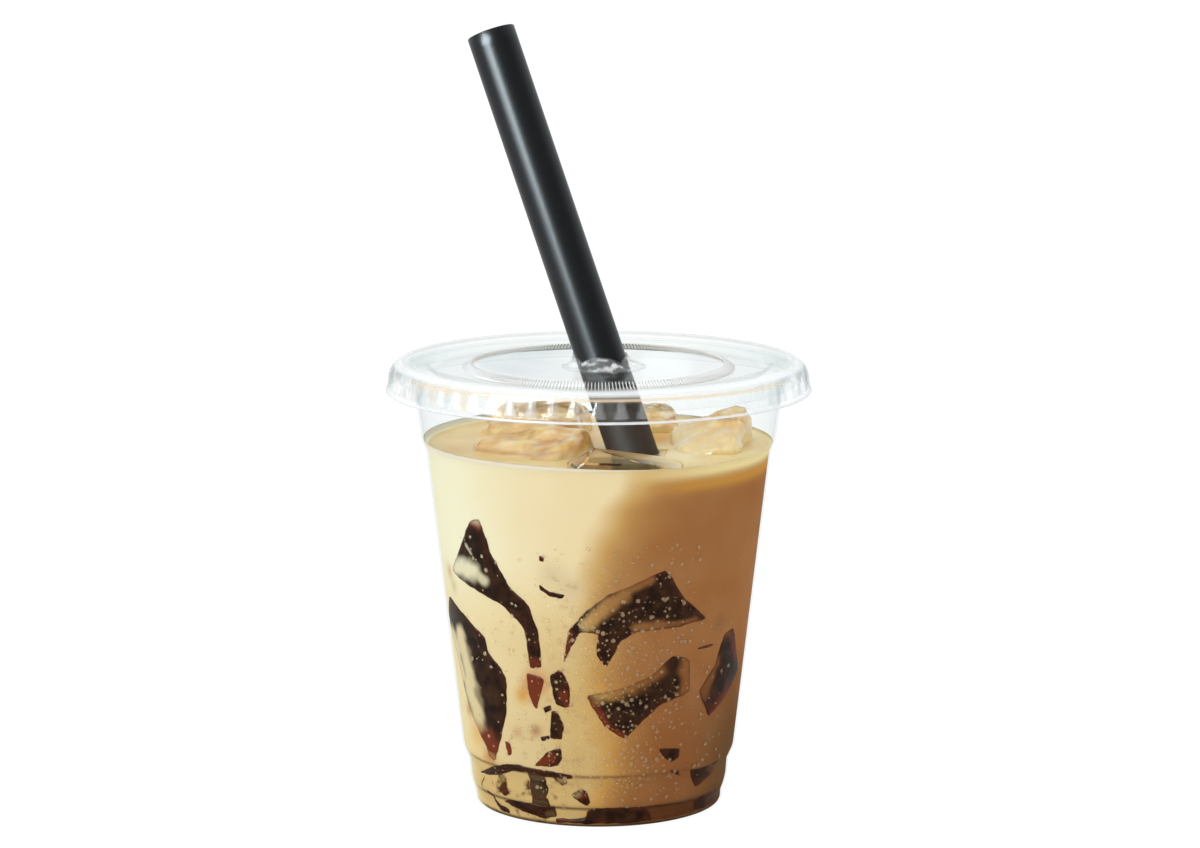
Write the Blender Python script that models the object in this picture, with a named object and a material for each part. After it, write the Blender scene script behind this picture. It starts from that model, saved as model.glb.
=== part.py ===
# Iced hojicha latte with dark jelly in a clear takeaway cup with a flat lid and a wide straw.
# Metres, +Z up, origin at the centre of the cup's foot, front towards -Y.

import math
import random

import bmesh
import bpy
from mathutils import Matrix, Vector

MM = 0.001
GAP = 0.3 * MM

# Cup: thin thermoformed shell, sizes of its outer face
CUP_WALL = 0.5 * MM
FOOT_RADIUS = 27.9 * MM
FOOT_RING_WIDTH = 3.0 * MM
PUNT_HEIGHT = 2.4 * MM
STACK_STEP_HEIGHT = 13.5 * MM
STACK_STEP_RADIUS = 31.4 * MM
SHOULDER_HEIGHT = 81.5 * MM
SHOULDER_RADIUS = 39.25 * MM
LIP_CENTRE = (44.15 * MM, 99.35 * MM)
LIP_RADIUS = 1.6 * MM
LIP_STEPS = 4
CUP_SIDES = 48

# Lid: thin flat lid with a fluted skirt
LID_WALL = 0.4 * MM
SKIRT_HEM_RADIUS = 48.3 * MM
SKIRT_HEM_HEIGHT = 95.9 * MM
SKIRT_TOP_RADIUS = 47.0 * MM
RIM_EDGE_HEIGHT = 101.5 * MM
RIM_CREST_RADIUS = 41.6 * MM
RIM_CREST_HEIGHT = 102.75 * MM
PANEL_RADIUS = 38.3 * MM
PANEL_HEIGHT = 100.5 * MM
DISC_RADIUS = 29.0 * MM
DISC_HEIGHT = 102.0 * MM
FLUTES = 60
FLUTE_DEPTH = 0.35 * MM
SLIT_FLAP_HEIGHT = 2.4 * MM

# Straw: leans to the left and away from the front
STRAW_RADIUS = 5.55 * MM
STRAW_WALL = 0.5 * MM
STRAW_AT_LID = Vector((1.5, -6.0, 101.0)) * MM
STRAW_LEAN = Vector((-0.347, 0.24, 1.0))
STRAW_TOP = 176.0 * MM
STRAW_END = 53.0 * MM
STRAW_SIDES = 20

# Drink
DRINK_LEVEL = 83.5 * MM
MENISCUS = 0.6 * MM
DRINK_SIDES = 48

# Ice: centre, size, turn about Z, nod about X and tilt about Y in degrees, random seed
ICE_LUMPS = {
    "ice_left": ((-15.6, -11.5, 79.8), (27.0, 18.0, 14.0), -30.0, 19.0, 4.0, 3),
    "ice_back_left": ((-14.0, 15.5, 81.5), (24.0, 18.0, 16.0), -14.0, 8.0, -5.0, 5),
    "ice_back": ((10.0, 20.8, 80.6), (18.0, 15.0, 14.0), 12.0, 6.0, 6.0, 8),
    "ice_right": ((25.8, -2.0, 79.8), (17.0, 22.0, 16.0), -9.0, 12.0, -12.0, 13),
}
CLEAR_ICE = {
    "bottom": 72.0 * MM,
    "outline": [(-7.0, -30.0), (-4.0, -42.0), (18.0, -42.0), (18.5, -27.0), (15.0, -20.0), (-1.0, -19.0)],
    "heights": [84.4, 84.6, 83.4, 83.4, 83.7, 85.4],
    "behind": 1.2 * MM,  # thickness of the drink left between this ice and the wall
}

JELLY_GAP = 0.4  # millimetres

# Jelly pieces against the wall. Each outline is in degrees from the front, towards +X, and height
# in millimetres. The last value is how deep the piece reaches into the drink, in millimetres.
JELLY = {
    "jelly_left_upper": (
        [(-50, 70), (-45, 71), (-40.5, 63), (-34, 56.5), (-26, 52.5), (-22.5, 46), (-22, 38), (-27, 37.5),
         (-28, 47), (-38, 52), (-67, 56.5), (-60, 61)],
        7.0,
    ),
    "jelly_left_lower": (
        [(-81, 45), (-74, 50), (-60, 47), (-47.5, 43), (-47, 40), (-38, 35), (-39.5, 26), (-47, 15.5),
         (-53, 16), (-66, 25), (-72, 36)],
        8.0,
    ),
    "jelly_left_chip": ([(-28.5, 36.5), (-21, 35.5), (-25, 28), (-28, 31)], 5.0),
    "jelly_centre_upper": (
        [(-13.5, 39), (-11, 47.5), (-4, 52), (3, 55.5), (14, 58), (24, 61), (33, 53), (44, 48), (28, 47),
         (15, 47), (8, 45), (3, 38.5), (-1, 41.5), (0, 46.5), (-7, 47)],
        4.0,
    ),
    "jelly_centre_lower": (
        [(-5, 32), (8, 33.5), (20, 36), (29, 40.5), (37, 39), (38, 31), (25, 29.5), (10, 21.5), (2, 25)],
        8.0,
    ),
    "jelly_right": ([(55, 43), (62, 44), (67, 38), (73, 33), (62, 28), (50, 24), (43, 31), (51, 36)], 8.0),
    "jelly_small_upper": ([(-19, 36.5), (-14.5, 38), (-11, 34), (-11, 29), (-17, 29.5)], 5.0),
    "jelly_small_lower": ([(-19, 28), (-16.5, 28), (-14, 24.5), (-15, 21.5), (-20, 21.5)], 5.0),
    "jelly_chip_right": ([(25, 18.8), (35.5, 18.2), (35.5, 16), (31, 15.2), (28, 16.6)], 3.0),
    "jelly_band": ([(-65, 9.4), (-50, 12.6), (-38, 14.4), (-11, 13.3), (-11, 12.3), (-37, 12.7), (-50, 11.2)], 4.0),
    "jelly_foot_left": ([(-31, 11.2), (-23.5, 11.2), (-22.5, 9), (-24, 6.3), (-30, 6.3), (-31.5, 9)], 5.0),
    "jelly_foot_slip": ([(-48, 4.2), (-45, 5.1), (-23, 5.1), (-25, 3), (-40, 3.2)], 4.0),
    "jelly_foot_right": ([(42, 12.5), (54, 12), (64, 12.5), (60, 9.5), (48, 7.5)], 6.0),
    "jelly_foot_edge": ([(48, 4.8), (72, 4.4), (74, 1.8), (52, 1.4)], 4.0),
    "jelly_bottom": ([(-18, 1.3), (-6, 2.4), (-5, 5.1), (22, 5.1), (26, 1.3)], 5.0),
}


def clear_scene():
    for obj in list(bpy.data.objects):
        bpy.data.objects.remove(obj, do_unlink=True)


def finish(name, colour, roughness, metallic=0.0, alpha=1.0, transmission=0.0):
    """A Principled material, one for each kind of piece."""
    material = bpy.data.materials.get(name) or bpy.data.materials.new(name)
    material.use_nodes = True
    shader = material.node_tree.nodes["Principled BSDF"]
    shader.inputs["Base Color"].default_value = (*colour, 1.0)
    shader.inputs["Roughness"].default_value = roughness
    shader.inputs["Metallic"].default_value = metallic
    shader.inputs["Alpha"].default_value = alpha
    shader.inputs["Transmission Weight"].default_value = transmission
    return material


def clear_plastic():
    return finish("clear_plastic", (0.90, 0.95, 0.95), 0.06, transmission=1.0, alpha=0.35)


def straw_plastic():
    return finish("straw_plastic", (0.018, 0.018, 0.02), 0.3)


def milky_tea():
    return finish("milky_tea", (0.66, 0.42, 0.21), 0.25)


def wet_ice():
    return finish("wet_ice", (0.72, 0.52, 0.31), 0.1)


def dark_jelly():
    return finish("dark_jelly", (0.030, 0.012, 0.006), 0.15)


def add_object(name, mesh, material):
    obj = bpy.data.objects.new(name, mesh)
    bpy.context.collection.objects.link(obj)
    obj.data.materials.clear()
    obj.data.materials.append(material)
    return obj


def mesh_from(bm, name):
    bmesh.ops.recalc_face_normals(bm, faces=bm.faces)
    mesh = bpy.data.meshes.new(name)
    bm.to_mesh(mesh)
    bm.free()
    mesh.shade_smooth()
    mesh.set_sharp_from_angle(angle=math.radians(35))
    return mesh


def helper(name, mesh):
    obj = bpy.data.objects.new(name, mesh)
    bpy.context.collection.objects.link(obj)
    obj.hide_render = True
    obj.display_type = "WIRE"
    return obj


def arc(centre, radius, start, end, steps):
    """Points of an arc in the profile plane, angles in degrees."""
    points = []
    for i in range(steps + 1):
        angle = math.radians(start + (end - start) * i / steps)
        points.append((centre[0] + radius * math.cos(angle), centre[1] + radius * math.sin(angle)))
    return points


def offset(path, distance):
    """The open path moved sideways by distance, to its left as it runs, with mitred corners."""
    moved = []
    for i, point in enumerate(path):
        here = Vector(point)
        before = (here - Vector(path[i - 1])).normalized() if i else None
        after = (Vector(path[i + 1]) - here).normalized() if i + 1 < len(path) else None
        before = before or after
        after = after or before
        normal_a = Vector((-before.y, before.x))
        normal_b = Vector((-after.y, after.x))
        mitre = (normal_a + normal_b).normalized()
        moved.append(tuple(here + mitre * distance / max(mitre.dot(normal_a), 0.5)))
    return moved


def sheet_section(middle, thickness):
    """The closed outline of a thin wall that follows its middle line out from the axis."""
    outside = offset(middle, -thickness / 2)
    inside = offset(middle, thickness / 2)
    outside[0] = (middle[0][0], outside[0][1])
    inside[0] = (middle[0][0], inside[0][1])
    return outside + inside[::-1]


def lathed(section, sides):
    """A solid of revolution about Z from a closed outline of (radius, height) points."""
    bm = bmesh.new()
    verts = [bm.verts.new((r, 0.0, z)) for r, z in section]
    edges = [bm.edges.new((verts[i], verts[(i + 1) % len(verts)])) for i in range(len(verts))]
    bmesh.ops.spin(
        bm, geom=verts + edges, axis=(0, 0, 1), cent=(0, 0, 0), angle=math.tau, steps=sides, use_merge=True
    )
    bmesh.ops.remove_doubles(bm, verts=bm.verts, dist=1e-6)
    bmesh.ops.dissolve_degenerate(bm, edges=bm.edges, dist=1e-6)
    # The outline's last edge lies on the axis when both its ends do, and leaves loose edges there
    loose = [edge for edge in bm.edges if not edge.link_faces]
    bmesh.ops.delete(bm, geom=loose, context="EDGES")
    return bm


def lathe(name, section, sides):
    return mesh_from(lathed(section, sides), name)


def wall_radius(height):
    """Outer radius of the cup's side at a height, above its foot."""
    steps = [
        (0.0, FOOT_RADIUS),
        (0.8 * MM, FOOT_RADIUS + 0.6 * MM),
        (2.6 * MM, FOOT_RADIUS + 0.6 * MM),
        (4.6 * MM, 29.3 * MM),
        (10.4 * MM, 30.0 * MM),
        (12.0 * MM, 30.75 * MM),
        (STACK_STEP_HEIGHT, STACK_STEP_RADIUS),
        (SHOULDER_HEIGHT, SHOULDER_RADIUS),
        (82.7 * MM, 39.5 * MM),
        (84.7 * MM, 40.4 * MM),
        (LIP_CENTRE[1], LIP_CENTRE[0] - LIP_RADIUS),
    ]
    for (low, r_low), (high, r_high) in zip(steps, steps[1:]):
        if height <= high:
            return r_low + (r_high - r_low) * (height - low) / (high - low)
    return steps[-1][1]


WALL_HEIGHTS = [h * MM for h in (2.6, 4.6, 10.4, 12.0, 13.5, 81.5, 82.7, 84.7)]


def cup_middle_line():
    """From the axis along the raised floor, round the foot ring, up the side and over the rolled lip."""
    half = CUP_WALL / 2
    ring_in = FOOT_RADIUS - FOOT_RING_WIDTH
    line = [
        (0.0, PUNT_HEIGHT + half),
        (ring_in - 1.6 * MM, PUNT_HEIGHT + half),
        (ring_in - 0.5 * MM, PUNT_HEIGHT - 0.7 * MM),
        (ring_in, half),
        (FOOT_RADIUS - half, half),
        (FOOT_RADIUS + 0.6 * MM - half, 0.9 * MM),
    ]
    line += [(wall_radius(h) - half, h) for h in WALL_HEIGHTS]
    line += arc(LIP_CENTRE, LIP_RADIUS, 180, -50, LIP_STEPS)
    return line


def cup_cavity(gap, top):
    """Outline of the space inside the cup, kept a gap away from its wall, from its floor to top."""
    inside = offset(cup_middle_line(), CUP_WALL / 2 + gap)
    outline = [(0.0, inside[0][1])]
    for radius, height in inside[1:]:
        if height > top - 0.1 * MM:
            break
        outline.append((radius, height))
    last = outline[-1]
    above = inside[len(outline)]
    share = (top - last[1]) / (above[1] - last[1])
    outline.append((last[0] + (above[0] - last[0]) * share, top))
    outline.append((0.0, top))
    return outline


def make_cup():
    section = sheet_section(cup_middle_line(), CUP_WALL)
    return add_object("cup", lathe("cup", section, CUP_SIDES), clear_plastic())


def lid_middle_line():
    """From the axis across the raised disc, down to the panel, up over the rim and down the skirt."""
    half = LID_WALL / 2
    hem_step = 0.7 * MM
    return [
        (0.0, DISC_HEIGHT),
        (DISC_RADIUS - 1.2 * MM, DISC_HEIGHT),
        (DISC_RADIUS, DISC_HEIGHT - 0.4 * MM),
        (DISC_RADIUS + 0.9 * MM, PANEL_HEIGHT + 0.2 * MM),
        (DISC_RADIUS + 1.8 * MM, PANEL_HEIGHT),
        (PANEL_RADIUS - 0.9 * MM, PANEL_HEIGHT),
        (PANEL_RADIUS, PANEL_HEIGHT + 0.4 * MM),
        (PANEL_RADIUS + 0.9 * MM, RIM_CREST_HEIGHT - 0.7 * MM),
        (PANEL_RADIUS + 1.9 * MM, RIM_CREST_HEIGHT - 0.1 * MM),
        (RIM_CREST_RADIUS, RIM_CREST_HEIGHT),
        (45.6 * MM, RIM_EDGE_HEIGHT + 0.8 * MM),
        (SKIRT_TOP_RADIUS - half, RIM_EDGE_HEIGHT - 0.2 * MM),
        (SKIRT_TOP_RADIUS - half + 0.15 * MM, RIM_EDGE_HEIGHT - 1.2 * MM),
        (SKIRT_TOP_RADIUS - half + 0.55 * MM, SKIRT_HEM_HEIGHT + 1.6 * MM),
        (SKIRT_TOP_RADIUS - half + 0.75 * MM, SKIRT_HEM_HEIGHT + hem_step),
        (SKIRT_HEM_RADIUS, SKIRT_HEM_HEIGHT),
    ]


def flute_skirt(bm):
    """Pushes every second line of points in the skirt outwards, into a ring of upright flutes."""
    top = RIM_EDGE_HEIGHT - 1.0 * MM
    bottom = SKIRT_HEM_HEIGHT + 0.9 * MM
    for vert in bm.verts:
        radius = math.hypot(vert.co.x, vert.co.y)
        if radius < SKIRT_TOP_RADIUS - 1.0 * MM or not bottom < vert.co.z < top:
            continue
        if not on_odd_line(vert):
            vert.co.x *= 1 + FLUTE_DEPTH / radius
            vert.co.y *= 1 + FLUTE_DEPTH / radius


def on_odd_line(vert):
    """Whether a point of the lid lies on a hollow between two flutes."""
    turn = math.atan2(vert.co.y, vert.co.x) * FLUTES / math.tau
    return abs(turn - round(turn)) > 0.25


def halve_inside(bm):
    """Takes out every second radial line inside the rim, where the lid is plain and round."""
    inner = []
    for edge in bm.edges:
        ends = [math.hypot(vert.co.x, vert.co.y) for vert in edge.verts]
        radial = abs(ends[0] - ends[1]) > 1e-5 or abs(edge.verts[0].co.z - edge.verts[1].co.z) > 1e-5
        if radial and max(ends) < RIM_CREST_RADIUS + 0.5 * MM and on_odd_line(edge.verts[ends[0] < ends[1]]):
            inner.append(edge)
    bmesh.ops.dissolve_edges(bm, edges=inner, use_verts=True)


def along_straw(height):
    """The point of the straw's axis at a height."""
    return STRAW_AT_LID + STRAW_LEAN * (height - STRAW_AT_LID.z)


def tube(name, low, high, outer, inner, sides):
    """A straight tube along the straw's axis between two heights, solid when inner is zero."""
    bm = bmesh.new()
    start = along_straw(low)
    length = (along_straw(high) - start).length
    rings = [(outer, 0.0), (outer, length)]
    if inner:
        rings += [(inner, length), (inner, 0.0)]
    loops = []
    for radius, along in rings:
        angles = [math.tau * i / sides for i in range(sides)]
        loops.append([bm.verts.new((radius * math.cos(a), radius * math.sin(a), along)) for a in angles])
    joined = zip(loops, loops[1:] + loops[:1]) if inner else zip(loops, loops[1:])
    for ring_a, ring_b in joined:
        for i in range(sides):
            j = (i + 1) % sides
            bm.faces.new((ring_a[i], ring_a[j], ring_b[j], ring_b[i]))
    if not inner:
        bm.faces.new(loops[0][::-1])
        bm.faces.new(loops[1])
    turn = STRAW_LEAN.to_track_quat("Z", "Y").to_matrix().to_4x4()
    bmesh.ops.transform(bm, matrix=Matrix.Translation(start) @ turn, verts=bm.verts)
    return mesh_from(bm, name)


def slit_flaps():
    """The four flaps of the slit, pushed up round the straw, as one low ring with four points."""
    bm = bmesh.new()
    sides = 24
    foot = DISC_HEIGHT
    centre = along_straw(foot)
    rings = []
    for reach, lift, follow in ((2.9, -0.1, 0), (0.75, 1.0, 1), (0.45, 1.0, 1), (2.3, -0.15, 0)):
        ring = []
        for i in range(sides):
            angle = math.tau * i / sides
            petal = 0.45 + 0.55 * abs(math.cos(2 * angle))
            height = SLIT_FLAP_HEIGHT * petal if follow else lift * MM
            radius = STRAW_RADIUS + reach * MM
            shift = STRAW_LEAN * height if follow else Vector((0, 0, height))
            level = Vector((radius * math.cos(angle), radius * math.sin(angle), 0))
            ring.append(bm.verts.new(centre + level + shift))
        rings.append(ring)
    for ring_a, ring_b in zip(rings, rings[1:] + rings[:1]):
        for i in range(sides):
            j = (i + 1) % sides
            bm.faces.new((ring_a[i], ring_a[j], ring_b[j], ring_b[i]))
    return mesh_from(bm, "slit_flaps")


def boolean(obj, cutter, operation):
    modifier = obj.modifiers.new(f"{operation.lower()}_{cutter.name}", "BOOLEAN")
    modifier.operation = operation
    modifier.object = cutter


def make_lid():
    bm = lathed(sheet_section(lid_middle_line(), LID_WALL), 2 * FLUTES)
    flute_skirt(bm)
    halve_inside(bm)
    lid = add_object("lid", mesh_from(bm, "lid"), clear_plastic())
    hole = helper("straw_hole", tube("straw_hole", 96 * MM, 108 * MM, STRAW_RADIUS + 2 * GAP, 0.0, 24))
    boolean(lid, hole, "DIFFERENCE")
    boolean(lid, helper("slit_flaps", slit_flaps()), "UNION")
    return lid


def make_straw():
    inner = STRAW_RADIUS - STRAW_WALL
    mesh = tube("straw", STRAW_END, STRAW_TOP, STRAW_RADIUS, inner, STRAW_SIDES)
    return add_object("straw", mesh, straw_plastic())


def ice_lump(name, centre, size, turn, nod, tilt, seed, grow=0.0):
    """A melted block with soft corners: a bevelled box, pushed about a little at each corner."""
    rng = random.Random(seed)
    bm = bmesh.new()
    bmesh.ops.create_cube(bm, size=1.0)
    bmesh.ops.scale(bm, vec=Vector(size) * MM, verts=bm.verts)
    for vert in bm.verts:
        vert.co += Vector([rng.uniform(-2.0, 2.0) for _ in range(3)]) * MM
    bmesh.ops.bevel(
        bm, geom=bm.edges[:] + bm.verts[:], offset=3.6 * MM, segments=2, profile=0.6, affect="EDGES"
    )
    bmesh.ops.triangulate(bm, faces=bm.faces)
    for vert in bm.verts:
        vert.co += Vector([rng.uniform(-0.35, 0.35) for _ in range(3)]) * MM
    spin = Matrix.Rotation(math.radians(turn), 4, "Z")
    spin = spin @ Matrix.Rotation(math.radians(nod), 4, "X") @ Matrix.Rotation(math.radians(tilt), 4, "Y")
    bmesh.ops.transform(bm, matrix=Matrix.Translation(Vector(centre) * MM) @ spin, verts=bm.verts)
    swell(bm, grow)
    return mesh_from(bm, name)


def swell(bm, distance):
    """Moves every face outwards by about this distance."""
    if not distance:
        return
    bmesh.ops.recalc_face_normals(bm, faces=bm.faces)
    bm.normal_update()
    moves = {vert: vert.normal * distance * min(vert.calc_shell_factor(), 2.5) for vert in bm.verts}
    for vert, move in moves.items():
        vert.co += move


def clear_ice(name, grow=0.0):
    """The clear splinter of ice that stands against the front wall, before the straw."""
    bm = bmesh.new()
    low = [bm.verts.new((x * MM, y * MM, CLEAR_ICE["bottom"])) for x, y in CLEAR_ICE["outline"]]
    tops = zip(CLEAR_ICE["outline"], CLEAR_ICE["heights"])
    high = [bm.verts.new((x * MM, y * MM, z * MM)) for (x, y), z in tops]
    peak = bm.verts.new((-1.5 * MM, -32.0 * MM, 88.0 * MM))
    count = len(low)
    for i in range(count):
        j = (i + 1) % count
        bm.faces.new((low[i], low[j], high[j], high[i]))
        bm.faces.new((high[i], high[j], peak))
    bm.faces.new(low[::-1])
    bmesh.ops.triangulate(bm, faces=bm.faces)
    swell(bm, grow)
    return mesh_from(bm, name)


def grown(outline, distance):
    """The closed outline of (degrees, height) moved outwards by a distance in millimetres on the wall."""
    points = []
    for degrees, height in outline:
        points.append(Vector((math.radians(degrees) * wall_radius(height * MM) / MM, height)))
    area = sum(a.x * b.y - b.x * a.y for a, b in zip(points, points[1:] + points[:1]))
    side = math.copysign(distance, area)
    moved = []
    for i, point in enumerate(points):
        before = (point - points[i - 1]).normalized()
        after = (points[(i + 1) % len(points)] - point).normalized()
        normal = Vector((before.y, -before.x))
        mitre = (normal + Vector((after.y, -after.x))).normalized()
        place = point + mitre * side / max(mitre.dot(normal), 0.3)
        moved.append((math.degrees(place.x * MM / wall_radius(place.y * MM)), place.y))
    return moved


def jelly_block(name, outline, depth, grow=0.0):
    """A block with this outline on the cup's wall, running from inside the drink out past the wall."""
    bm = bmesh.new()
    inner = []
    outer = []
    for degrees, height in grown(outline, grow) if grow else outline:
        angle = math.radians(degrees)
        radius = wall_radius(height * MM) - CUP_WALL
        away = Vector((math.sin(angle), -math.cos(angle), 0.0))
        up = Vector((0.0, 0.0, height * MM))
        inner.append(bm.verts.new(away * (radius - (depth + grow) * MM) + up))
        outer.append(bm.verts.new(away * (radius + 9 * MM) + up))
    count = len(outline)
    for i in range(count):
        j = (i + 1) % count
        bm.faces.new((inner[i], inner[j], outer[j], outer[i]))
    bm.faces.new(inner[::-1])
    bm.faces.new(outer)
    bmesh.ops.triangulate(bm, faces=bm.faces)
    return mesh_from(bm, name)


def round_room(name, gap):
    """The upper part of the space inside the cup, kept a gap away from its wall."""
    low = 65 * MM
    high = 95 * MM
    rows = [(0.0, low)]
    for height in (low, SHOULDER_HEIGHT, 84.7 * MM, high):
        rows.append((wall_radius(height) - CUP_WALL - gap, height))
    return helper(name, lathe(name, rows + [(0.0, high)], DRINK_SIDES))


def make_ice(room, straw_room):
    for name, values in ICE_LUMPS.items():
        boolean(add_object(name, ice_lump(name, *values), wet_ice()), room, "INTERSECT")
    splinter = add_object("ice_front_clear", clear_ice("ice_front_clear"), wet_ice())
    boolean(splinter, round_room("clear_ice_room", CLEAR_ICE["behind"]), "INTERSECT")
    boolean(splinter, straw_room, "DIFFERENCE")


def make_jelly(room):
    for name, (outline, depth) in JELLY.items():
        boolean(add_object(name, jelly_block(name, outline, depth), dark_jelly()), room, "INTERSECT")


def make_drink():
    """The drink, cut round the straw, the ice and the jelly."""
    outline = cup_cavity(GAP, DRINK_LEVEL + MENISCUS)
    outline.insert(-1, (outline[-2][0] - 2.0 * MM, DRINK_LEVEL))
    outline[-1] = (0.0, DRINK_LEVEL)
    drink = add_object("drink", lathe("drink", outline, DRINK_SIDES), milky_tea())
    bore = STRAW_RADIUS - STRAW_WALL - GAP
    around = tube("around_straw", STRAW_END - GAP, STRAW_TOP, STRAW_RADIUS + GAP, bore, STRAW_SIDES)
    boolean(drink, helper("around_straw", around), "DIFFERENCE")
    for name, values in ICE_LUMPS.items():
        boolean(drink, helper(f"around_{name}", ice_lump(name, *values, grow=GAP)), "DIFFERENCE")
    splinter_space = helper("around_clear_ice", clear_ice("around_clear_ice", GAP))
    boolean(splinter_space, round_room("around_clear_ice_room", CLEAR_ICE["behind"] - GAP), "INTERSECT")
    boolean(drink, splinter_space, "DIFFERENCE")
    for name, (outline, depth) in JELLY.items():
        cutter = jelly_block(f"around_{name}", outline, depth, JELLY_GAP)
        boolean(drink, helper(f"around_{name}", cutter), "DIFFERENCE")
    return drink


clear_scene()
make_cup()
make_lid()
make_straw()
cavity = helper("cavity", lathe("cavity", cup_cavity(GAP, 97.0 * MM), DRINK_SIDES))
straw_shape = tube("straw_space", 40 * MM, 110 * MM, STRAW_RADIUS + GAP, 0.0, STRAW_SIDES)
straw_space = helper("straw_space", straw_shape)
make_ice(cavity, straw_space)
make_jelly(cavity)
make_drink()
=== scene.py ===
import math
import random

import bmesh
import bpy
import numpy as np
from mathutils import Matrix, Vector, noise
from mathutils.geometry import delaunay_2d_cdt


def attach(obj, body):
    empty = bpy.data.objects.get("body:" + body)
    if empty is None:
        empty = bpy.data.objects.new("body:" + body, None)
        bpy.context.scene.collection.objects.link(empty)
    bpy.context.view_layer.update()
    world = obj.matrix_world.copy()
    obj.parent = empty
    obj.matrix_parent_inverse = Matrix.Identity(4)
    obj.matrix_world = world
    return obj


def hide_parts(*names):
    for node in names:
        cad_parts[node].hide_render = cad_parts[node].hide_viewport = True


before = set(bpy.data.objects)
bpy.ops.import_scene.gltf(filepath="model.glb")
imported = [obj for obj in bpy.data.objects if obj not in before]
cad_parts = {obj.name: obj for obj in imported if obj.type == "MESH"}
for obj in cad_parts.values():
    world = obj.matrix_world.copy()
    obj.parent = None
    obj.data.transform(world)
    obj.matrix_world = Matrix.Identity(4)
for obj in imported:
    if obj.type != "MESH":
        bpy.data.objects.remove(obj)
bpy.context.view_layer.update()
mm = 0.001
weldReach = 0.004 * mm
print("frame loaded:", len(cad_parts), "nodes")


# small tools: lines are (radius, height) or (x, y) in millimetres

def smoothStep(low, high, value):
    share = np.clip((np.asarray(value, float) - low) / (high - low), 0.0, 1.0)
    return share * share * (3 - 2 * share)


def bell(value, middle, reach):
    # 1 at the middle, falling off softly to both sides
    return np.exp(-(((value - middle) / reach) ** 2))


def blendColour(first, second, share):
    share = np.asarray(share, float)[..., None]
    return np.asarray(first, float) * (1 - share) + np.asarray(second, float) * share


def linear(colour):
    return [c / 12.92 if c <= 0.04045 else ((c + 0.055) / 1.055) ** 2.4 for c in colour]


def shade(red, green, blue):
    return np.array(linear((red / 255, green / 255, blue / 255)))


def arcPoints(centre, radius, start, end, steps):
    turns = [math.radians(start + (end - start) * i / steps) for i in range(steps + 1)]
    return [(centre[0] + radius * math.cos(t), centre[1] + radius * math.sin(t)) for t in turns]


def roundCorners(line, reach, steps=4):
    # each corner becomes a short curve that starts and ends at most reach away
    result = [line[0]]
    for before, corner, after in zip(line, line[1:], line[2:]):
        a, b, c = Vector(before), Vector(corner), Vector(after)
        start = b + (a - b).normalized() * min(reach, (a - b).length * 0.45)
        end = b + (c - b).normalized() * min(reach, (c - b).length * 0.45)
        for i in range(steps + 1):
            t = i / steps
            result.append(tuple((1 - t) ** 2 * start + 2 * t * (1 - t) * b + t * t * end))
    return result + [line[-1]]


def fineLine(line, longest):
    result = [line[0]]
    for a, b in zip(line, line[1:]):
        parts = max(1, math.ceil(math.dist(a, b) / longest))
        result += [tuple(Vector(a).lerp(Vector(b), i / parts)) for i in range(1, parts + 1)]
    return result


def offsetLine(line, distance):
    # moved to the right of the way it runs
    result = []
    for i, point in enumerate(line):
        before = Vector(point) - Vector(line[i - 1]) if i else None
        after = Vector(line[i + 1]) - Vector(point) if i + 1 < len(line) else None
        before, after = (before or after).normalized(), (after or before).normalized()
        normal = Vector((before.y, -before.x))
        mitre = (normal + Vector((after.y, -after.x))).normalized()
        result.append(tuple(Vector(point) + mitre * distance / max(mitre.dot(normal), 0.5)))
    return result


def sheetSection(middle, thickness):
    # closed section of a thin wall, starting and ending on the axis
    inner = offsetLine(middle, -thickness / 2)
    outer = offsetLine(middle, thickness / 2)
    return outer + inner[::-1]


def turnOutward(bm):
    bmesh.ops.recalc_face_normals(bm, faces=bm.faces)
    if bm.calc_volume(signed=True) < 0:
        bmesh.ops.reverse_faces(bm, faces=bm.faces)


def addPiece(name, points, faces, smooth=True):
    mesh = bpy.data.meshes.new(name)
    mesh.from_pydata((np.asarray(points, float) * mm).tolist(), [], faces)
    mesh.validate()
    bm = bmesh.new()
    bm.from_mesh(mesh)
    turnOutward(bm)
    bm.to_mesh(mesh)
    bm.free()
    mesh.shade_smooth() if smooth else mesh.shade_flat()
    obj = bpy.data.objects.new(name, mesh)
    bpy.context.scene.collection.objects.link(obj)
    return obj


def roundPoint(radius, turn, height):
    # turn goes round from the front towards +X
    return radius * math.sin(turn), -radius * math.cos(turn), height


def revolve(section, sides):
    # points and faces of the section turned round the axis, with one point at each pole
    points, rings = [], []
    for radius, height in section:
        if radius < 1e-6:
            rings.append([len(points)] * sides)
            points.append((0.0, 0.0, height))
            continue
        rings.append(list(range(len(points), len(points) + sides)))
        points += [roundPoint(radius, math.tau * i / sides, height) for i in range(sides)]
    faces = []
    for low, high in zip(rings, rings[1:]):
        for i in range(sides):
            j = (i + 1) % sides
            face = list(dict.fromkeys((low[i], low[j], high[j], high[i])))
            if len(face) > 2:
                faces.append(face)
    return points, faces


def gridFaces(rows, columns, ringed=False):
    # squares between rows of points; where the rows are rings, their ends are joined
    faces = []
    for k in range(rows - 1):
        for i in range(columns if ringed else columns - 1):
            low, high, j = k * columns, (k + 1) * columns, (i + 1) % columns
            faces.append((low + i, low + j, high + j, high + i))
    return faces


def pointsOf(obj):
    coords = np.empty(len(obj.data.vertices) * 3)
    obj.data.vertices.foreach_get("co", coords)
    return coords.reshape(-1, 3) / mm


def radiiOf(places):
    return np.hypot(places[:, 0], places[:, 1])


def azimuthOf(places):
    # degrees round from the front towards +X
    return np.degrees(np.arctan2(places[:, 0], -places[:, 1]))


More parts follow.
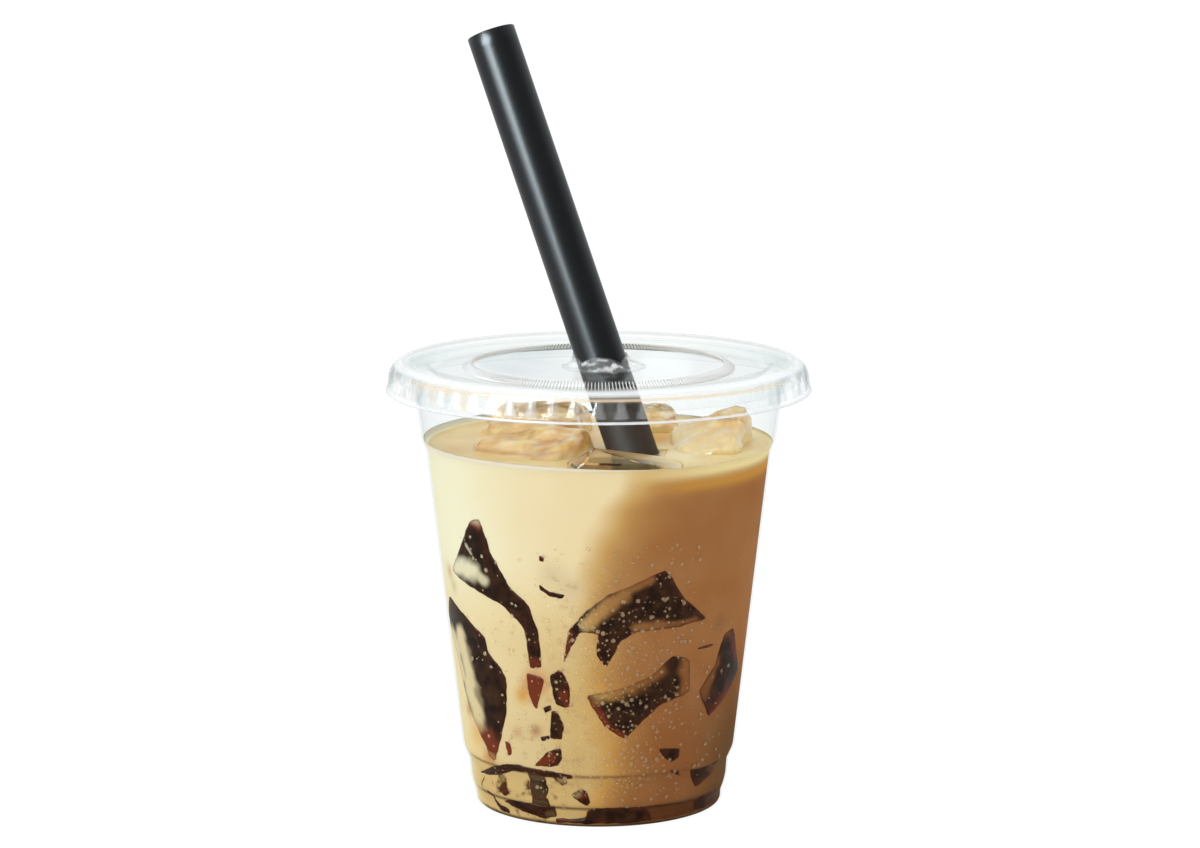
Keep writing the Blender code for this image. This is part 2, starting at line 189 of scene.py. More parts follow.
def setPoints(obj, points):
    obj.data.vertices.foreach_set("co", (np.asarray(points) * mm).ravel())
    obj.data.update()


def setValue(obj, name, values):
    layer = obj.data.attributes.new(name, "FLOAT", "POINT")
    layer.data.foreach_set("value", np.asarray(values, np.float32))


def setColour(obj, name, colours):
    layer = obj.data.attributes.new(name, "FLOAT_COLOR", "POINT")
    full = np.ones((len(colours), 4), np.float32)
    full[:, :3] = colours
    layer.data.foreach_set("color", full.ravel())


def noiseAt(points, scale, seed):
    shift = Vector((seed * 7.3, seed * 3.1, seed * 5.7))
    return np.array([noise.noise(Vector(p) / scale + shift) for p in points])


def settle(obj, slotName, *replaced):
    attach(obj, "root")
    if replaced:
        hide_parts(*replaced)


def keepResult(obj):
    # what the modifiers give becomes the piece's own plain mesh
    graph = bpy.context.evaluated_depsgraph_get()
    graph.update()
    mesh = bpy.data.meshes.new_from_object(obj.evaluated_get(graph), depsgraph=graph)
    obj.modifiers.clear()
    obj.data = mesh
    mesh.name = obj.name


def joinPieces(first, *others):
    bm = bmesh.new()
    for obj in (first, *others):
        bm.from_mesh(obj.data)
    bmesh.ops.remove_doubles(bm, verts=bm.verts, dist=weldReach)
    turnOutward(bm)
    bm.to_mesh(first.data)
    bm.free()
    for obj in others:
        bpy.data.objects.remove(obj)
    first.data.shade_smooth()


def cutWith(obj, cutter, operation="DIFFERENCE", solver="MANIFOLD"):
    modifier = obj.modifiers.new("cut", "BOOLEAN")
    modifier.operation = operation
    modifier.solver = solver
    modifier.object = cutter
    keepResult(obj)
    bpy.data.objects.remove(cutter)
    obj.data.shade_smooth()


def wear(obj, *materials):
    obj.data.materials.clear()
    for material in materials:
        obj.data.materials.append(material)


# nodes and materials

def feed(tree, socket, value):
    # a socket takes a number, a colour or vector, or what another node gives
    if isinstance(value, bpy.types.NodeSocket):
        tree.links.new(value, socket)
    elif isinstance(value, (tuple, list, np.ndarray)):
        socket.default_value = (*value[:3], 1)[: len(socket.default_value)]
    else:
        socket.default_value = value


def addNode(tree, kind, values=None):
    # values by the names of the node's sockets, or by their numbers
    node = tree.nodes.new(kind)
    for label, value in (values or {}).items():
        feed(tree, node.inputs[label], value)
    return node


def mathNode(tree, operation, first, second):
    node = addNode(tree, "ShaderNodeMath", {0: first, 1: second})
    node.operation = operation
    return node.outputs[0]


def mixColours(tree, share, first, second):
    node = tree.nodes.new("ShaderNodeMix")
    node.data_type = "RGBA"
    for socket, value in zip((node.inputs[0], node.inputs[6], node.inputs[7]), (share, first, second)):
        feed(tree, socket, value)
    return node.outputs[2]


def mixShaders(tree, share, first, second):
    return addNode(tree, "ShaderNodeMixShader", {0: share, 1: first, 2: second}).outputs[0]


def rangeNode(tree, value, low, high, most=1.0, least=0.0):
    # value between low and high becomes a share between least and most
    values = {"Value": value, "From Min": low, "From Max": high, "To Min": least, "To Max": most}
    return addNode(tree, "ShaderNodeMapRange", values).outputs[0]


def attributeNode(tree, name, output="Fac"):
    node = tree.nodes.new("ShaderNodeAttribute")
    node.attribute_name = name
    return node.outputs[output]


def ownPlace(tree):
    return tree.nodes.new("ShaderNodeTexCoord").outputs["Object"]


def noiseNode(tree, scale, detail=2.0, distortion=0.0):
    # clouds that stay with the piece
    values = {"Vector": ownPlace(tree), "Scale": scale, "Detail": detail, "Distortion": distortion}
    return addNode(tree, "ShaderNodeTexNoise", values)


def newMaterial(name):
    material = bpy.data.materials.new(name)
    material.use_nodes = True
    material.node_tree.nodes.clear()
    return material, material.node_tree


def finishMaterial(tree, shader):
    addNode(tree, "ShaderNodeOutputMaterial", {0: shader})


def finishBody(tree, values):
    # an ordinary surface that isn't see-through
    finishMaterial(tree, addNode(tree, "ShaderNodeBsdfPrincipled", values).outputs[0])


def sheetGloss(tree, least, most, power):
    # how much a thin sheet mirrors: little face-on, more of it edge-on, the same from both sides
    facing = addNode(tree, "ShaderNodeLayerWeight", {"Blend": 0.5})
    rise = mathNode(tree, "POWER", facing.outputs["Facing"], power)
    return mathNode(tree, "ADD", mathNode(tree, "MULTIPLY", rise, most - least), least)


def clearPlastic(name, look):
    # see-through sheet: tinted where it is seen edge-on, and glossy. Where the look has colours for them, one
    # attribute lays a milky layer over it (frost on the ice, painted highlights and painted peach light on
    # the lid), another turns that layer to peach, and a third darkens the sheet with painted shade
    material, tree = newMaterial(name)
    facing = addNode(tree, "ShaderNodeLayerWeight", {"Blend": look["edgeBlend"]}).outputs["Facing"]
    tint = mixColours(tree, facing, look["throughMiddle"], look["throughEdge"])
    # painted shade darkens the sheet where the lid gives it
    if "paintedShadeColour" in look:
        tint = mixColours(tree, attributeNode(tree, "smoke"), tint, look["paintedShadeColour"])
    through = addNode(tree, "ShaderNodeBsdfTransparent", {"Color": tint})
    gloss = addNode(tree, "ShaderNodeBsdfGlossy", {"Roughness": look["roughness"]})
    mirrored = sheetGloss(tree, look["gloss"], look["edgeGloss"], look["edgePower"])
    shader = mixShaders(tree, mirrored, through.outputs[0], gloss.outputs[0])
    if "frostAndHighlightColour" in look:
        milky = mixColours(tree, attributeNode(tree, "peach"), look["frostAndHighlightColour"], look["peachColour"])
        values = {"Base Color": milky, "Roughness": look["frostRoughness"]}
        frost = addNode(tree, "ShaderNodeBsdfPrincipled", values)
        shader = mixShaders(tree, attributeNode(tree, "frost"), shader, frost.outputs[0])
    finishMaterial(tree, shader)
    return material


# geometry nodes

def newGroup(name, inputs):
    # a tree that takes a mesh and the named inputs, and gives a mesh back
    group = bpy.data.node_groups.new(name, "GeometryNodeTree")
    for label, kind in {"Geometry": "Geometry", **inputs}.items():
        group.interface.new_socket(label, in_out="INPUT", socket_type="NodeSocket" + kind)
    group.interface.new_socket("Geometry", in_out="OUTPUT", socket_type="NodeSocketGeometry")
    return group, group.nodes.new("NodeGroupInput").outputs


def finishGroup(group, copies, material, weld=0.0):
    # the copies become real mesh, welded where they meet, and take the material
    real = addNode(group, "GeometryNodeRealizeInstances", {0: copies}).outputs[0]
    if weld:
        real = addNode(group, "GeometryNodeMergeByDistance", {0: real, "Distance": weld}).outputs[0]
    paint = addNode(group, "GeometryNodeSetMaterial", {"Geometry": real, "Material": material})
    addNode(group, "NodeGroupOutput", {0: paint.outputs[0]})
    return group


def applyNodes(obj, group, values):
    # sets the named inputs, then keeps the result
    modifier = obj.modifiers.new(group.name, "NODES")
    modifier.node_group = group
    for item in group.interface.items_tree:
        if item.in_out == "INPUT" and item.name in values:
            modifier[item.identifier] = values[item.name]
    keepResult(obj)


def repeaterGroup():
    # turns copies of the incoming mesh evenly round the vertical axis
    group, given = newGroup("repeatRound", {"Count": "Int", "Material": "Material"})
    places = addNode(group, "GeometryNodePoints", {"Count": given["Count"]}).outputs[0]
    index = group.nodes.new("GeometryNodeInputIndex").outputs[0]
    turn = mathNode(group, "MULTIPLY", mathNode(group, "DIVIDE", math.tau, given["Count"]), index)
    rotation = addNode(group, "ShaderNodeCombineXYZ", {"Z": turn}).outputs[0]
    values = {"Points": places, "Instance": given["Geometry"], "Rotation": rotation}
    copies = addNode(group, "GeometryNodeInstanceOnPoints", values).outputs[0]
    return finishGroup(group, copies, given["Material"], weldReach)


repeatRound = repeaterGroup()


# cup

cup = {
    "wall": 0.5,
    "sides": 240,
    "punt": 2.4,
    "floorRadius": 23.3,
    "ringRadii": (24.4, 24.9, 27.65, 28.25),
    "lipFoot": (42.55, 98.6),
    "lipCentre": (44.15, 99.35),
    "lipRadius": 1.6,
    "lipTurns": (180, -50),
    "rounding": 0.7,
    "wallRadii": (27.9, 42.4),
}
cupLook = {
    "throughMiddle": (0.99, 0.995, 0.993),
    "throughEdge": (0.88, 0.91, 0.91),
    "edgeBlend": 0.15,
    "roughness": 0.06,
    "gloss": 0.0025,
    "edgeGloss": 0.15,
    "edgePower": 8.0,
}
# heights and radii of the wall's outside
outsideSteps = (
    (2.6, 28.5), (4.6, 29.25), (6.5, 29.7), (10.4, 30.0), (12.0, 30.75), (13.5, 31.4),
    (81.5, 39.25), (82.7, 39.5), (84.7, 40.4), (90.4, 41.1),
)


def cupMiddle():
    half, punt = cup["wall"] / 2, cup["punt"]
    a, b, c, d = cup["ringRadii"]
    line = [(0.0, punt + half), (cup["floorRadius"], punt + half)]
    line += [(a, punt - 0.7), (b, half), (c, half), (d, 0.9)]
    line += [(radius - half, height) for height, radius in outsideSteps]
    line += [(cup["lipFoot"][0] - half, cup["lipFoot"][1])]
    line = roundCorners(line, cup["rounding"])[:-1]
    return line + arcPoints(cup["lipCentre"], cup["lipRadius"], *cup["lipTurns"], 14)


cupLine = fineLine(cupMiddle(), 3.0)
wallMiddles, wallHeights = zip(*[p for p in cupLine if cup["wallRadii"][0] < p[0] < cup["wallRadii"][1]])


def wallAt(height, inward):
    # radius of the cup's wall, inward from its middle line
    return np.interp(height, wallHeights, wallMiddles) - inward


cupPiece = addPiece("cupShell", *revolve(sheetSection(cupLine, cup["wall"]), cup["sides"]))
wear(cupPiece, clearPlastic("clearCup", cupLook))
settle(cupPiece, "clear_plastic", "cup")
print("cup made")


# straw

straw = {
    "radius": 5.55,
    "wall": 0.5,
    "atLid": (1.5, -6.0, 101.0),
    "lean": (-0.347, 0.24, 1.0),
    "low": 53.0,
    "top": 176.0,
    "roundedEnds": 0.1,
    "sides": 64,
    "rings": 40,
    "colour": (0.006, 0.0065, 0.008),
    "grain": 900.0,
    "roughness": 0.3,
    "wetRoughness": 0.6,
    "shine": 0.28,
    # brown inside the cup, partly wet with tea and partly painted light: its colour and the heights where it
    # fades
    "wetAndPaintedLightColour": shade(58, 43, 31),
    "wetAndPaintedLightHeights": (88, 101),
}
strawAxis = Vector(straw["lean"])


def strawPoint(height):
    return Vector(straw["atLid"]) + strawAxis * (height - straw["atLid"][2])


def alongStraw(low, high, rings, sides, closed=True):
    # rings of (radius, share of the way up), turned round the straw's axis
    start, run = strawPoint(low), strawPoint(high) - strawPoint(low)
    turn = strawAxis.to_track_quat("Z", "Y")
    points = []
    for radius, share in rings:
        for t in [math.tau * i / sides for i in range(sides)]:
            away = turn @ Vector((radius * math.cos(t), radius * math.sin(t), 0))
            points.append(start + run * share + away)
    last = len(rings) - 1
    faces = gridFaces(len(rings), sides, True)
    if closed:
        ends = [(last * sides + i, last * sides + (i + 1) % sides, (i + 1) % sides, i) for i in range(sides)]
    else:
        ends = [list(range(sides)), list(range(last * sides, len(points)))]
    return points, faces + ends


def strawCore(name, low, high, room):
    # a solid rod along the straw, wider than it by room, for cutting
    radius = straw["radius"] + room
    return addPiece(name, *alongStraw(low, high, [(radius, 0), (radius, 1)], straw["sides"], False))


def strawMaterial():
    # black; brown inside the cup, partly a film of tea and partly painted light from the drink and glare
    # through the lid, and duller there
    material, tree = newMaterial("blackStraw")
    grain = noiseNode(tree, straw["grain"]).outputs["Fac"]
    dark, wet = straw["colour"], attributeNode(tree, "wet")
    dry = mixColours(tree, grain, dark, [c * 1.5 for c in dark])
    dull = mathNode(tree, "MULTIPLY", wet, straw["wetRoughness"] - straw["roughness"])
    bump = addNode(tree, "ShaderNodeBump", {"Strength": 0.06, "Distance": 0.0001, "Height": grain})
    finishBody(tree, {
        "Base Color": mixColours(tree, wet, dry, straw["wetAndPaintedLightColour"]),
        "Roughness": mathNode(tree, "ADD", dull, straw["roughness"]),
        "Normal": bump.outputs[0],
        "Specular IOR Level": straw["shine"],
    })
    return material


def makeStraw():
    # the two ends are rounded: edge is how far up, as a share of the length
    outer, inner, soft, edge = straw["radius"], straw["radius"] - straw["wall"], straw["roundedEnds"], 0.0008
    rings = [(outer - soft, 0), (outer, edge)]
    rings += [(outer, i / straw["rings"]) for i in range(1, straw["rings"])]
    rings += [(outer, 1 - edge), (outer - soft, 1), (inner + soft, 1), (inner, 1 - edge)]
    rings += [(inner, edge), (inner + soft, 0)]
    obj = addPiece("strawTube", *alongStraw(straw["low"], straw["top"], rings, straw["sides"]))
    wear(obj, strawMaterial())
    # brown below the lid: partly wet with tea, partly painted light
    setValue(obj, "wet", 1 - smoothStep(*straw["wetAndPaintedLightHeights"], pointsOf(obj)[:, 2]))
    settle(obj, "straw_plastic", "straw")


makeStraw()
print("straw made")


# lid

lid = {
    "wall": 0.4,
    "flutes": 60,
    "columns": 8,
    "fluteDepth": 0.5,
    "knurls": 240,
    "knurlRelief": 0.25,
    "knurlHalf": 0.1,
    "knurlShade": (0.86, 0.88, 0.89),
    "flapHeight": 2.8,
    "flapReach": 3.4,
    "flapThickness": 0.25,
    "slitRoom": 0.5,
    "skirtFoot": 96.6,
    "skirtRadius": 46.5,
}
lidLook = {
    "throughMiddle": (0.992, 0.998, 0.996),
    "throughEdge": (0.95, 0.97, 0.97),
    "edgeBlend": 0.15,
    "roughness": 0.06,
    "gloss": 0.008,
    "edgeGloss": 0.3,
    "edgePower": 5.0,
    "frostAndHighlightColour": (0.95, 0.97, 0.98),
    "frostRoughness": 0.25,
    "peachColour": shade(252, 226, 188),
    "paintedShadeColour": (0.74, 0.79, 0.83),
}
# middle line of the top from the centre outward, and of the skirt downward, as (radius, height)
lidTop = [
    (0.0, 102.0), (27.8, 102.0), (29.0, 101.6), (29.9, 100.7), (30.8, 100.5), (37.4, 100.5),
    (38.3, 100.9), (39.2, 102.05), (40.2, 102.65), (41.6, 102.75), (45.6, 102.3), (46.8, 101.3),
]
lidSkirt = [(46.95, 100.3), (47.35, 97.5), (47.55, 96.6), (48.3, 95.9)]
knurlLine = [(28.6, 102.05), (29.4, 101.85), (30.1, 101.05), (30.9, 100.85)]
clearLid = clearPlastic("clearLid", lidLook)
lidLine = fineLine(roundCorners(lidTop + lidSkirt, 0.6, 3), 1.6)
skirtStart = next(i for i, p in enumerate(lidLine) if p[0] > 46 and p[1] < 101.4)


def downSkirt(height):
    # share of the way down the skirt, and how far a flute reaches to each side there
    highest = lidLine[skirtStart][1]
    down = np.clip((highest - height) / (highest - lid["skirtFoot"]), 0, 1)
    return down, 0.1 + 0.34 * down


def fluteSector(rim):
    # one flute of the skirt, from the top's edge round the hem and back up inside
    points, columns = [], lid["columns"]
    for k, (radius, height) in enumerate(rim):
        down, reach = map(float, downSkirt(height))
        # no flutes on the two outermost rings, which meet the top's
        fade = float(smoothStep(0.0, 0.15, down) * (1 - smoothStep(0.86, 1.0, down))) * (0 < k < len(rim) - 1)
        for i in range(columns + 1):
            across = i / columns - 0.5
            r = radius + lid["fluteDepth"] * max(0.0, 1 - abs(across) / reach) ** 0.7 * fade
            points.append(roundPoint(r, math.tau * across / lid["flutes"], height))
    return points, gridFaces(len(rim), columns + 1)


def paintLidLight(obj):
    # painted light and shade on the lid: white painted highlights and peach painted light where the thin
    # plastic catches light, and grey painted shade
    places = pointsOf(obj)
    heights, radii, around = places[:, 2], radiiOf(places), azimuthOf(places)
    turns = np.arctan2(places[:, 0], -places[:, 1]) * lid["flutes"] / math.tau
    down, reach = downSkirt(heights)
    flank = np.clip(1 - np.abs(turns - np.round(turns)) / reach, 0, 1)
    onSkirt, aboveHem = radii > lid["skirtRadius"], down < 0.93
    # painted highlights: the flutes are whitest at the front left, and the rim and the hem are white painted
    # highlight lines at the front
    front = 0.1 + 0.8 * bell(around, -33, 11) + 0.15 * smoothStep(45, 70, np.abs(around))
    front *= smoothStep(120, 95, np.abs(around))
    frost = front * smoothStep(0.0, 0.5, flank) * onSkirt * smoothStep(0, 0.12, down) * aboveHem
    seen = smoothStep(110, 80, np.abs(around))
    hem = 0.7 * seen * smoothStep(96.35, 96.1, heights) * onSkirt
    rim = 0.55 * smoothStep(100.9, 101.6, heights)
    rim = rim * smoothStep(43.2, 44.2, radii) * smoothStep(46.8, 46, radii)
    frost = np.maximum(np.maximum(frost, hem), rim * (0.35 + 0.65 * seen)) + 0.01
    # peach light from the drink between the flutes and under the rim
    patches = smoothStep(-0.2, 0.3, noiseAt(places, 5.0, 6))
    warm = 0.3 * smoothStep(0.5, 0.1, flank) * patches * bell(around, -38, 24) * aboveHem
    line = 0.5 * bell(heights, 100.9, 0.3) * smoothStep(75, 50, np.abs(around))
    warm = np.maximum(warm, line) * (radii > 46.4)
    setValue(obj, "peach", warm / np.maximum(warm + frost, 1e-6))
    setValue(obj, "frost", np.maximum(frost, warm))
    # painted shade: grey streaks at the two ends, and darker on the left of the raised disc
    streaks = smoothStep(0.0, 0.25, noiseAt(places * np.array([1, 1, 0.12]), 0.9, 8)) * (radii > 46.4)
    streaks = streaks * smoothStep(35, 75, np.abs(around)) * seen * aboveHem
    shadow = smoothStep(-4, -14, places[:, 0]) * smoothStep(28.5, 26.5, radii)
    setValue(obj, "smoke", 0.8 * streaks + 0.3 * shadow * (0.75 + 0.5 * noiseAt(places, 9.0, 2)))


def makeLid():
    section, count = sheetSection(lidLine, lid["wall"]), len(lidLine)
    under, over = section[:count], section[count:][::-1]
    sides = lid["flutes"] * lid["columns"]
    obj = addPiece("lidShell", *revolve(under[: skirtStart + 1], sides))
    cover = addPiece("lidCover", *revolve(over[: skirtStart + 1], sides))
    skirt = addPiece("lidSkirt", *fluteSector(under[skirtStart:] + over[skirtStart:][::-1]))
    applyNodes(skirt, repeatRound, {"Count": lid["flutes"], "Material": clearLid})
    joinPieces(obj, cover, skirt)
    cutWith(obj, strawCore("hole", 97, 107, lid["slitRoom"]), solver="EXACT")
    wear(obj, clearLid)
    paintLidLight(obj)
    settle(obj, "clear_plastic", "lid")


def makeKnurls():
    # small upright ribs on the step round the raised disc
    half, rise = lid["knurlHalf"], lid["knurlRelief"]
    points = []
    for radius, height in knurlLine:
        top = (0, -radius - rise * 0.6, height + rise * 0.8)
        points += [(-half, -radius, height - 0.3), top, (half, -radius, height - 0.3)]
    faces = []
    for low in range(0, 3 * (len(knurlLine) - 1), 3):
        high = low + 3
        faces += [(low, low + 1, high + 1, high), (low + 1, low + 2, high + 2, high + 1)]
        faces += [(low, high, high + 2, low + 2)]
    obj = addPiece("lidKnurls", points, faces + [(0, 1, 2), (9, 10, 11)])
    material, tree = newMaterial("paleRib")
    # the clear ribs are painted pale grey, with white flecks of painted highlight where they catch light
    glintFlecks = noiseNode(tree, 300.0).outputs["Fac"]
    colour = mixColours(tree, glintFlecks, lid["knurlShade"], (1, 1, 1))
    finishBody(tree, {"Base Color": colour, "Roughness": 0.4})
    applyNodes(obj, repeatRound, {"Count": lid["knurls"], "Material": material})
    settle(obj, "clear_plastic")


def makeFlaps():
    # the four flaps of the slit, pushed up and creased round the straw
    sides, rows, centre = 96, 9, strawPoint(102.0)
    points = []
    for share in [k / (rows - 1) for k in range(rows)]:
        for t in [math.tau * i / sides for i in range(sides)]:
            petal = 0.4 + 0.6 * abs(math.cos(2 * t)) ** 0.7
            crease = noise.noise(Vector((3 * math.cos(t), 3 * math.sin(t), share * 1.5 + 4)))
            lift = lid["flapHeight"] * petal * share ** 1.3 + 0.35 * crease * share
            radius = straw["radius"] + lid["flapReach"] * (1 - share) ** 1.6 + 0.55 + 0.5 * crease * share
            away = Vector((radius * math.cos(t), radius * math.sin(t), 0.1))
            points.append(centre + away + strawAxis * lift)
    obj = addPiece("lidFlaps", points, gridFaces(rows, sides, True))
    obj.modifiers.new("thick", "SOLIDIFY").thickness = lid["flapThickness"] * mm
    keepResult(obj)
    wear(obj, clearLid)
    # painted highlights in patches where the creased flaps catch light
    setValue(obj, "frost", 0.06 + 0.5 * smoothStep(0.1, 0.5, noiseAt(pointsOf(obj), 1.6, 3)))
    settle(obj, "clear_plastic")


makeLid()
makeKnurls()
makeFlaps()
print("lid made")


# ice

# centre, size, turn about Z, nod about X and tilt about Y in degrees, seed
iceLumps = {
    "ice_left": ((-15.6, -11.5, 79.8), (27, 18, 14), -30, 19, 4, 3),
    "ice_back_left": ((-14, 15.5, 81.5), (24, 18, 16), -14, 8, -5, 5),
    "ice_back": ((10, 20.8, 80.6), (18, 15, 14), 12, 6, 6, 8),
    "ice_right": ((25.8, -2, 79.8), (17, 22, 16), -9, 12, -12, 13),
}
ice = {
    "bevel": 3.6,
    "skew": 2.0,
    "unevenness": 0.35,
    "longestEdge": 1.6,
    "dents": 0.9,
    "cellSize": 6.5,
    "waveSize": 5.5,
    "milky": shade(244, 208, 132),
    "golden": shade(208, 148, 60),
    "vein": shade(164, 100, 34),
    "veinScale": 75.0,
    "veinWidth": 0.045,
    "veinBend": 6 * mm,
    "ridge": shade(255, 248, 226),
    "film": shade(236, 208, 148),
    "crevice": shade(178, 104, 30),
    "waterlineShadowStrength": 0.6,
    "filmFrom": 83.7,
    "filmTop": {"ice_right": 90.0, "ice_left": 85.5},
    "filmTopElsewhere": 86.0,
    "roughness": 0.1,
    "wallGap": 0.15,
}


def iceMaterial():
    # wet, with a film of tea: pale and golden in patches, with painted highlights on its ridges and a painted
    # shadow at the waterline
    material, tree = newMaterial("wetIce")
    share = rangeNode(tree, noiseNode(tree, 190.0, 4.0).outputs["Fac"], 0.35, 0.65)
    colour = mixColours(tree, share, ice["golden"], ice["milky"])
    # amber veins where cracks run through it
    moved = tree.nodes.new("ShaderNodeVectorMath")
    moved.operation = "MULTIPLY_ADD"
    bent = noiseNode(tree, 150.0, 3.0).outputs["Color"]
    for socket, value in zip(moved.inputs, (bent, [ice["veinBend"]] * 3, ownPlace(tree))):
        feed(tree, socket, value)
    cells = addNode(tree, "ShaderNodeTexVoronoi", {"Scale": ice["veinScale"], "Vector": moved.outputs[0]})
    cells.feature = "DISTANCE_TO_EDGE"
    thin = rangeNode(tree, cells.outputs["Distance"], ice["veinWidth"], 0.0)
    broken = mathNode(tree, "MULTIPLY", thin, mathNode(tree, "SUBTRACT", 1.0, share))
    colour = mixColours(tree, broken, colour, ice["vein"])
    # the film of tea, painted highlights on the ridges and a painted shadow at the waterline
    for name in ("ridge", "film", "crevice"):
        colour = mixColours(tree, attributeNode(tree, name), colour, ice[name])
    finishBody(tree, {
        "Base Color": colour,
        "Roughness": ice["roughness"],
        "Subsurface Weight": 0.15,
        "Subsurface Radius": (1.0, 0.8, 0.5),
        "Subsurface Scale": 3 * mm,
        "Coat Weight": 0.3,
        "Coat Roughness": 0.03,
    })
    return material


wetIce = iceMaterial()


def insideWall(places, gap):
    # pulls points that would pass through the wall back to its inner face
    most = wallAt(places[:, 2], cup["wall"] / 2 + gap)
    share = np.minimum(1.0, most / np.maximum(radiiOf(places), 1e-6))
    result = places.copy()
    result[:, :2] *= share[:, None]
    return result


def shakeCorners(bm, rng, reach):
    for vert in bm.verts:
        vert.co += Vector([rng.uniform(-reach, reach) for _ in range(3)])


def makeIce(name, centre, size, turn, nod, tilt, seed):
    rng = random.Random(seed)
    bm = bmesh.new()
    bmesh.ops.create_cube(bm, size=1.0)
    bmesh.ops.scale(bm, vec=Vector(size), verts=bm.verts)
    shakeCorners(bm, rng, ice["skew"])
    bmesh.ops.bevel(
        bm, geom=bm.edges[:] + bm.verts[:], offset=ice["bevel"], segments=2, profile=0.6, affect="EDGES",
    )
    bmesh.ops.triangulate(bm, faces=bm.faces)
    shakeCorners(bm, rng, ice["unevenness"])
    spin = Matrix.Rotation(math.radians(turn), 4, "Z") @ Matrix.Rotation(math.radians(nod), 4, "X")
    spin = Matrix.Translation(Vector(centre)) @ spin @ Matrix.Rotation(math.radians(tilt), 4, "Y")
    bmesh.ops.transform(bm, matrix=spin, verts=bm.verts)
    bmesh.ops.subdivide_edges(bm, edges=bm.edges, cuts=3, use_grid_fill=True)
    longEdges = [e for e in bm.edges if e.calc_length() > ice["longestEdge"]]
    bmesh.ops.subdivide_edges(bm, edges=longEdges, cuts=1)
    bmesh.ops.triangulate(bm, faces=bm.faces)
    for _ in range(3):
        bmesh.ops.smooth_vert(
            bm, verts=bm.verts, factor=0.5, use_axis_x=True, use_axis_y=True, use_axis_z=True,
        )
    bm.normal_update()
    ridge, shift = [], Vector((seed, 0, 0))
    for vert in bm.verts:
        # cells give hollows with ridges between them, noise the small melted waves
        near, far = noise.voronoi(vert.co / ice["cellSize"] + shift, distance_metric="DISTANCE")[0][:2]
        dent = 0.9 * (0.2 - far + near) + noise.noise(vert.co / ice["waveSize"] + shift)
        vert.co += vert.normal * ice["dents"] * (dent + 0.35 * noise.noise(vert.co / 1.8))
        # painted highlights along the ridges between the cells
        ridge.append(0.7 * math.exp(-(far - near) / 0.07) * max(0, noise.noise(vert.co / 4) + 0.4))
    points = [tuple(v.co) for v in bm.verts]
    faces = [[v.index for v in f.verts] for f in bm.faces]
    bm.free()
    obj = addPiece(name + "_wet", points, faces)
    setPoints(obj, insideWall(pointsOf(obj), ice["wallGap"]))
    x, y, z = pointsOf(obj).T
    filmTop = ice["filmTop"].get(name, ice["filmTopElsewhere"])
    setValue(obj, "film", 1 - smoothStep(ice["filmFrom"], filmTop, z))
    setValue(obj, "ridge", ridge)
    # painted shadow of the ice at the waterline, at the front left
    waterline = bell(z, 84.1, 0.5) * smoothStep(-9, -14, x) * smoothStep(-2, -8, y)
    setValue(obj, "crevice", ice["waterlineShadowStrength"] * waterline)
    wear(obj, wetIce)
    settle(obj, "wet_ice", name)


for iceName, iceValues in iceLumps.items():
    makeIce(iceName, *iceValues)

clearIce = {
    "bottom": 72.0,
    "outline": ((-7, -30), (-4, -42), (18, -42), (18.5, -27), (15, -20), (-1, -19)),
    "heights": (84.4, 84.6, 83.4, 83.4, 83.7, 85.4),
    "peak": (-1.5, -32.0, 88.0),
    "behind": 1.2,
    "roomHeights": (60, 96),
    "creaseAbove": 83.0,
    "creaseLeftOf": 5.0,
    "creaseWidth": 0.36,
    "strawRoom": 0.2,
}
# clear ice under the surface, between the piece that shows and the straw: outline and top
sunkIce = {
    "outline": ((2.4, -21.5), (13.8, -22.5), (15.5, -9), (3.6, -9)),
    "middle": (8, -15),
    "top": 83.2,
    "bottom": 73.0,
}
clearIceLook = {
    "throughMiddle": (0.99, 0.975, 0.94),
    "throughEdge": (0.97, 0.94, 0.87),
    "edgeBlend": 0.2,
    "roughness": 0.03,
    "gloss": 0.02,
    "edgeGloss": 0.15,
    "edgePower": 5.0,
    "frostAndHighlightColour": shade(236, 209, 148),
    "frostRoughness": 0.25,
    "peachColour": shade(196, 138, 72),
    "haze": 0.13,
    "darkEdge": shade(52, 26, 10),
    "paleEdge": shade(214, 166, 100),
}


def splinter(name, grow):
    # the clear piece before the straw, its faces moved outward by grow
    corners = np.array(clearIce["outline"], float)
    away = corners - corners.mean(axis=0)
    corners += away / np.hypot(*away.T)[:, None] * grow
    points = [(x, y, clearIce["bottom"] - grow) for x, y in corners]
    points += [(x, y, z + grow) for (x, y), z in zip(corners, clearIce["heights"])]
    points.append(np.add(clearIce["peak"], (0, 0, grow)))
    count = len(corners)
    faces = [list(range(count))]
    for i in range(count):
        j = (i + 1) % count
        faces += [(i, j, count + j, count + i), (count + i, count + j, 2 * count)]
    return addPiece(name, points, faces, smooth=False)


def roundRoom(inward):
    # the space inside the cup's wall round the clear ice
    (low, high), steps = clearIce["roomHeights"], 12
    heights = [low + (high - low) * i / steps for i in range(steps + 1)]
    section = [(0.0, low)] + [(float(wallAt(h, inward)), h) for h in heights] + [(0.0, high)]
    return addPiece("room", *revolve(section, cup["sides"]))


def sunkBlock(name, grow, top):
    # the space of the sunk ice, its sides moved outward by grow
    (a, b), outline = sunkIce["middle"], sunkIce["outline"]
    corners = [(x + math.copysign(grow, x - a), y + math.copysign(grow, y - b)) for x, y in outline]
    points = [(x, y, sunkIce["bottom"] - grow) for x, y in corners] + [(x, y, top) for x, y in corners]
    return addPiece(name, points, [(0, 1, 2, 3), (4, 5, 6, 7)] + gridFaces(2, 4, True), smooth=False)


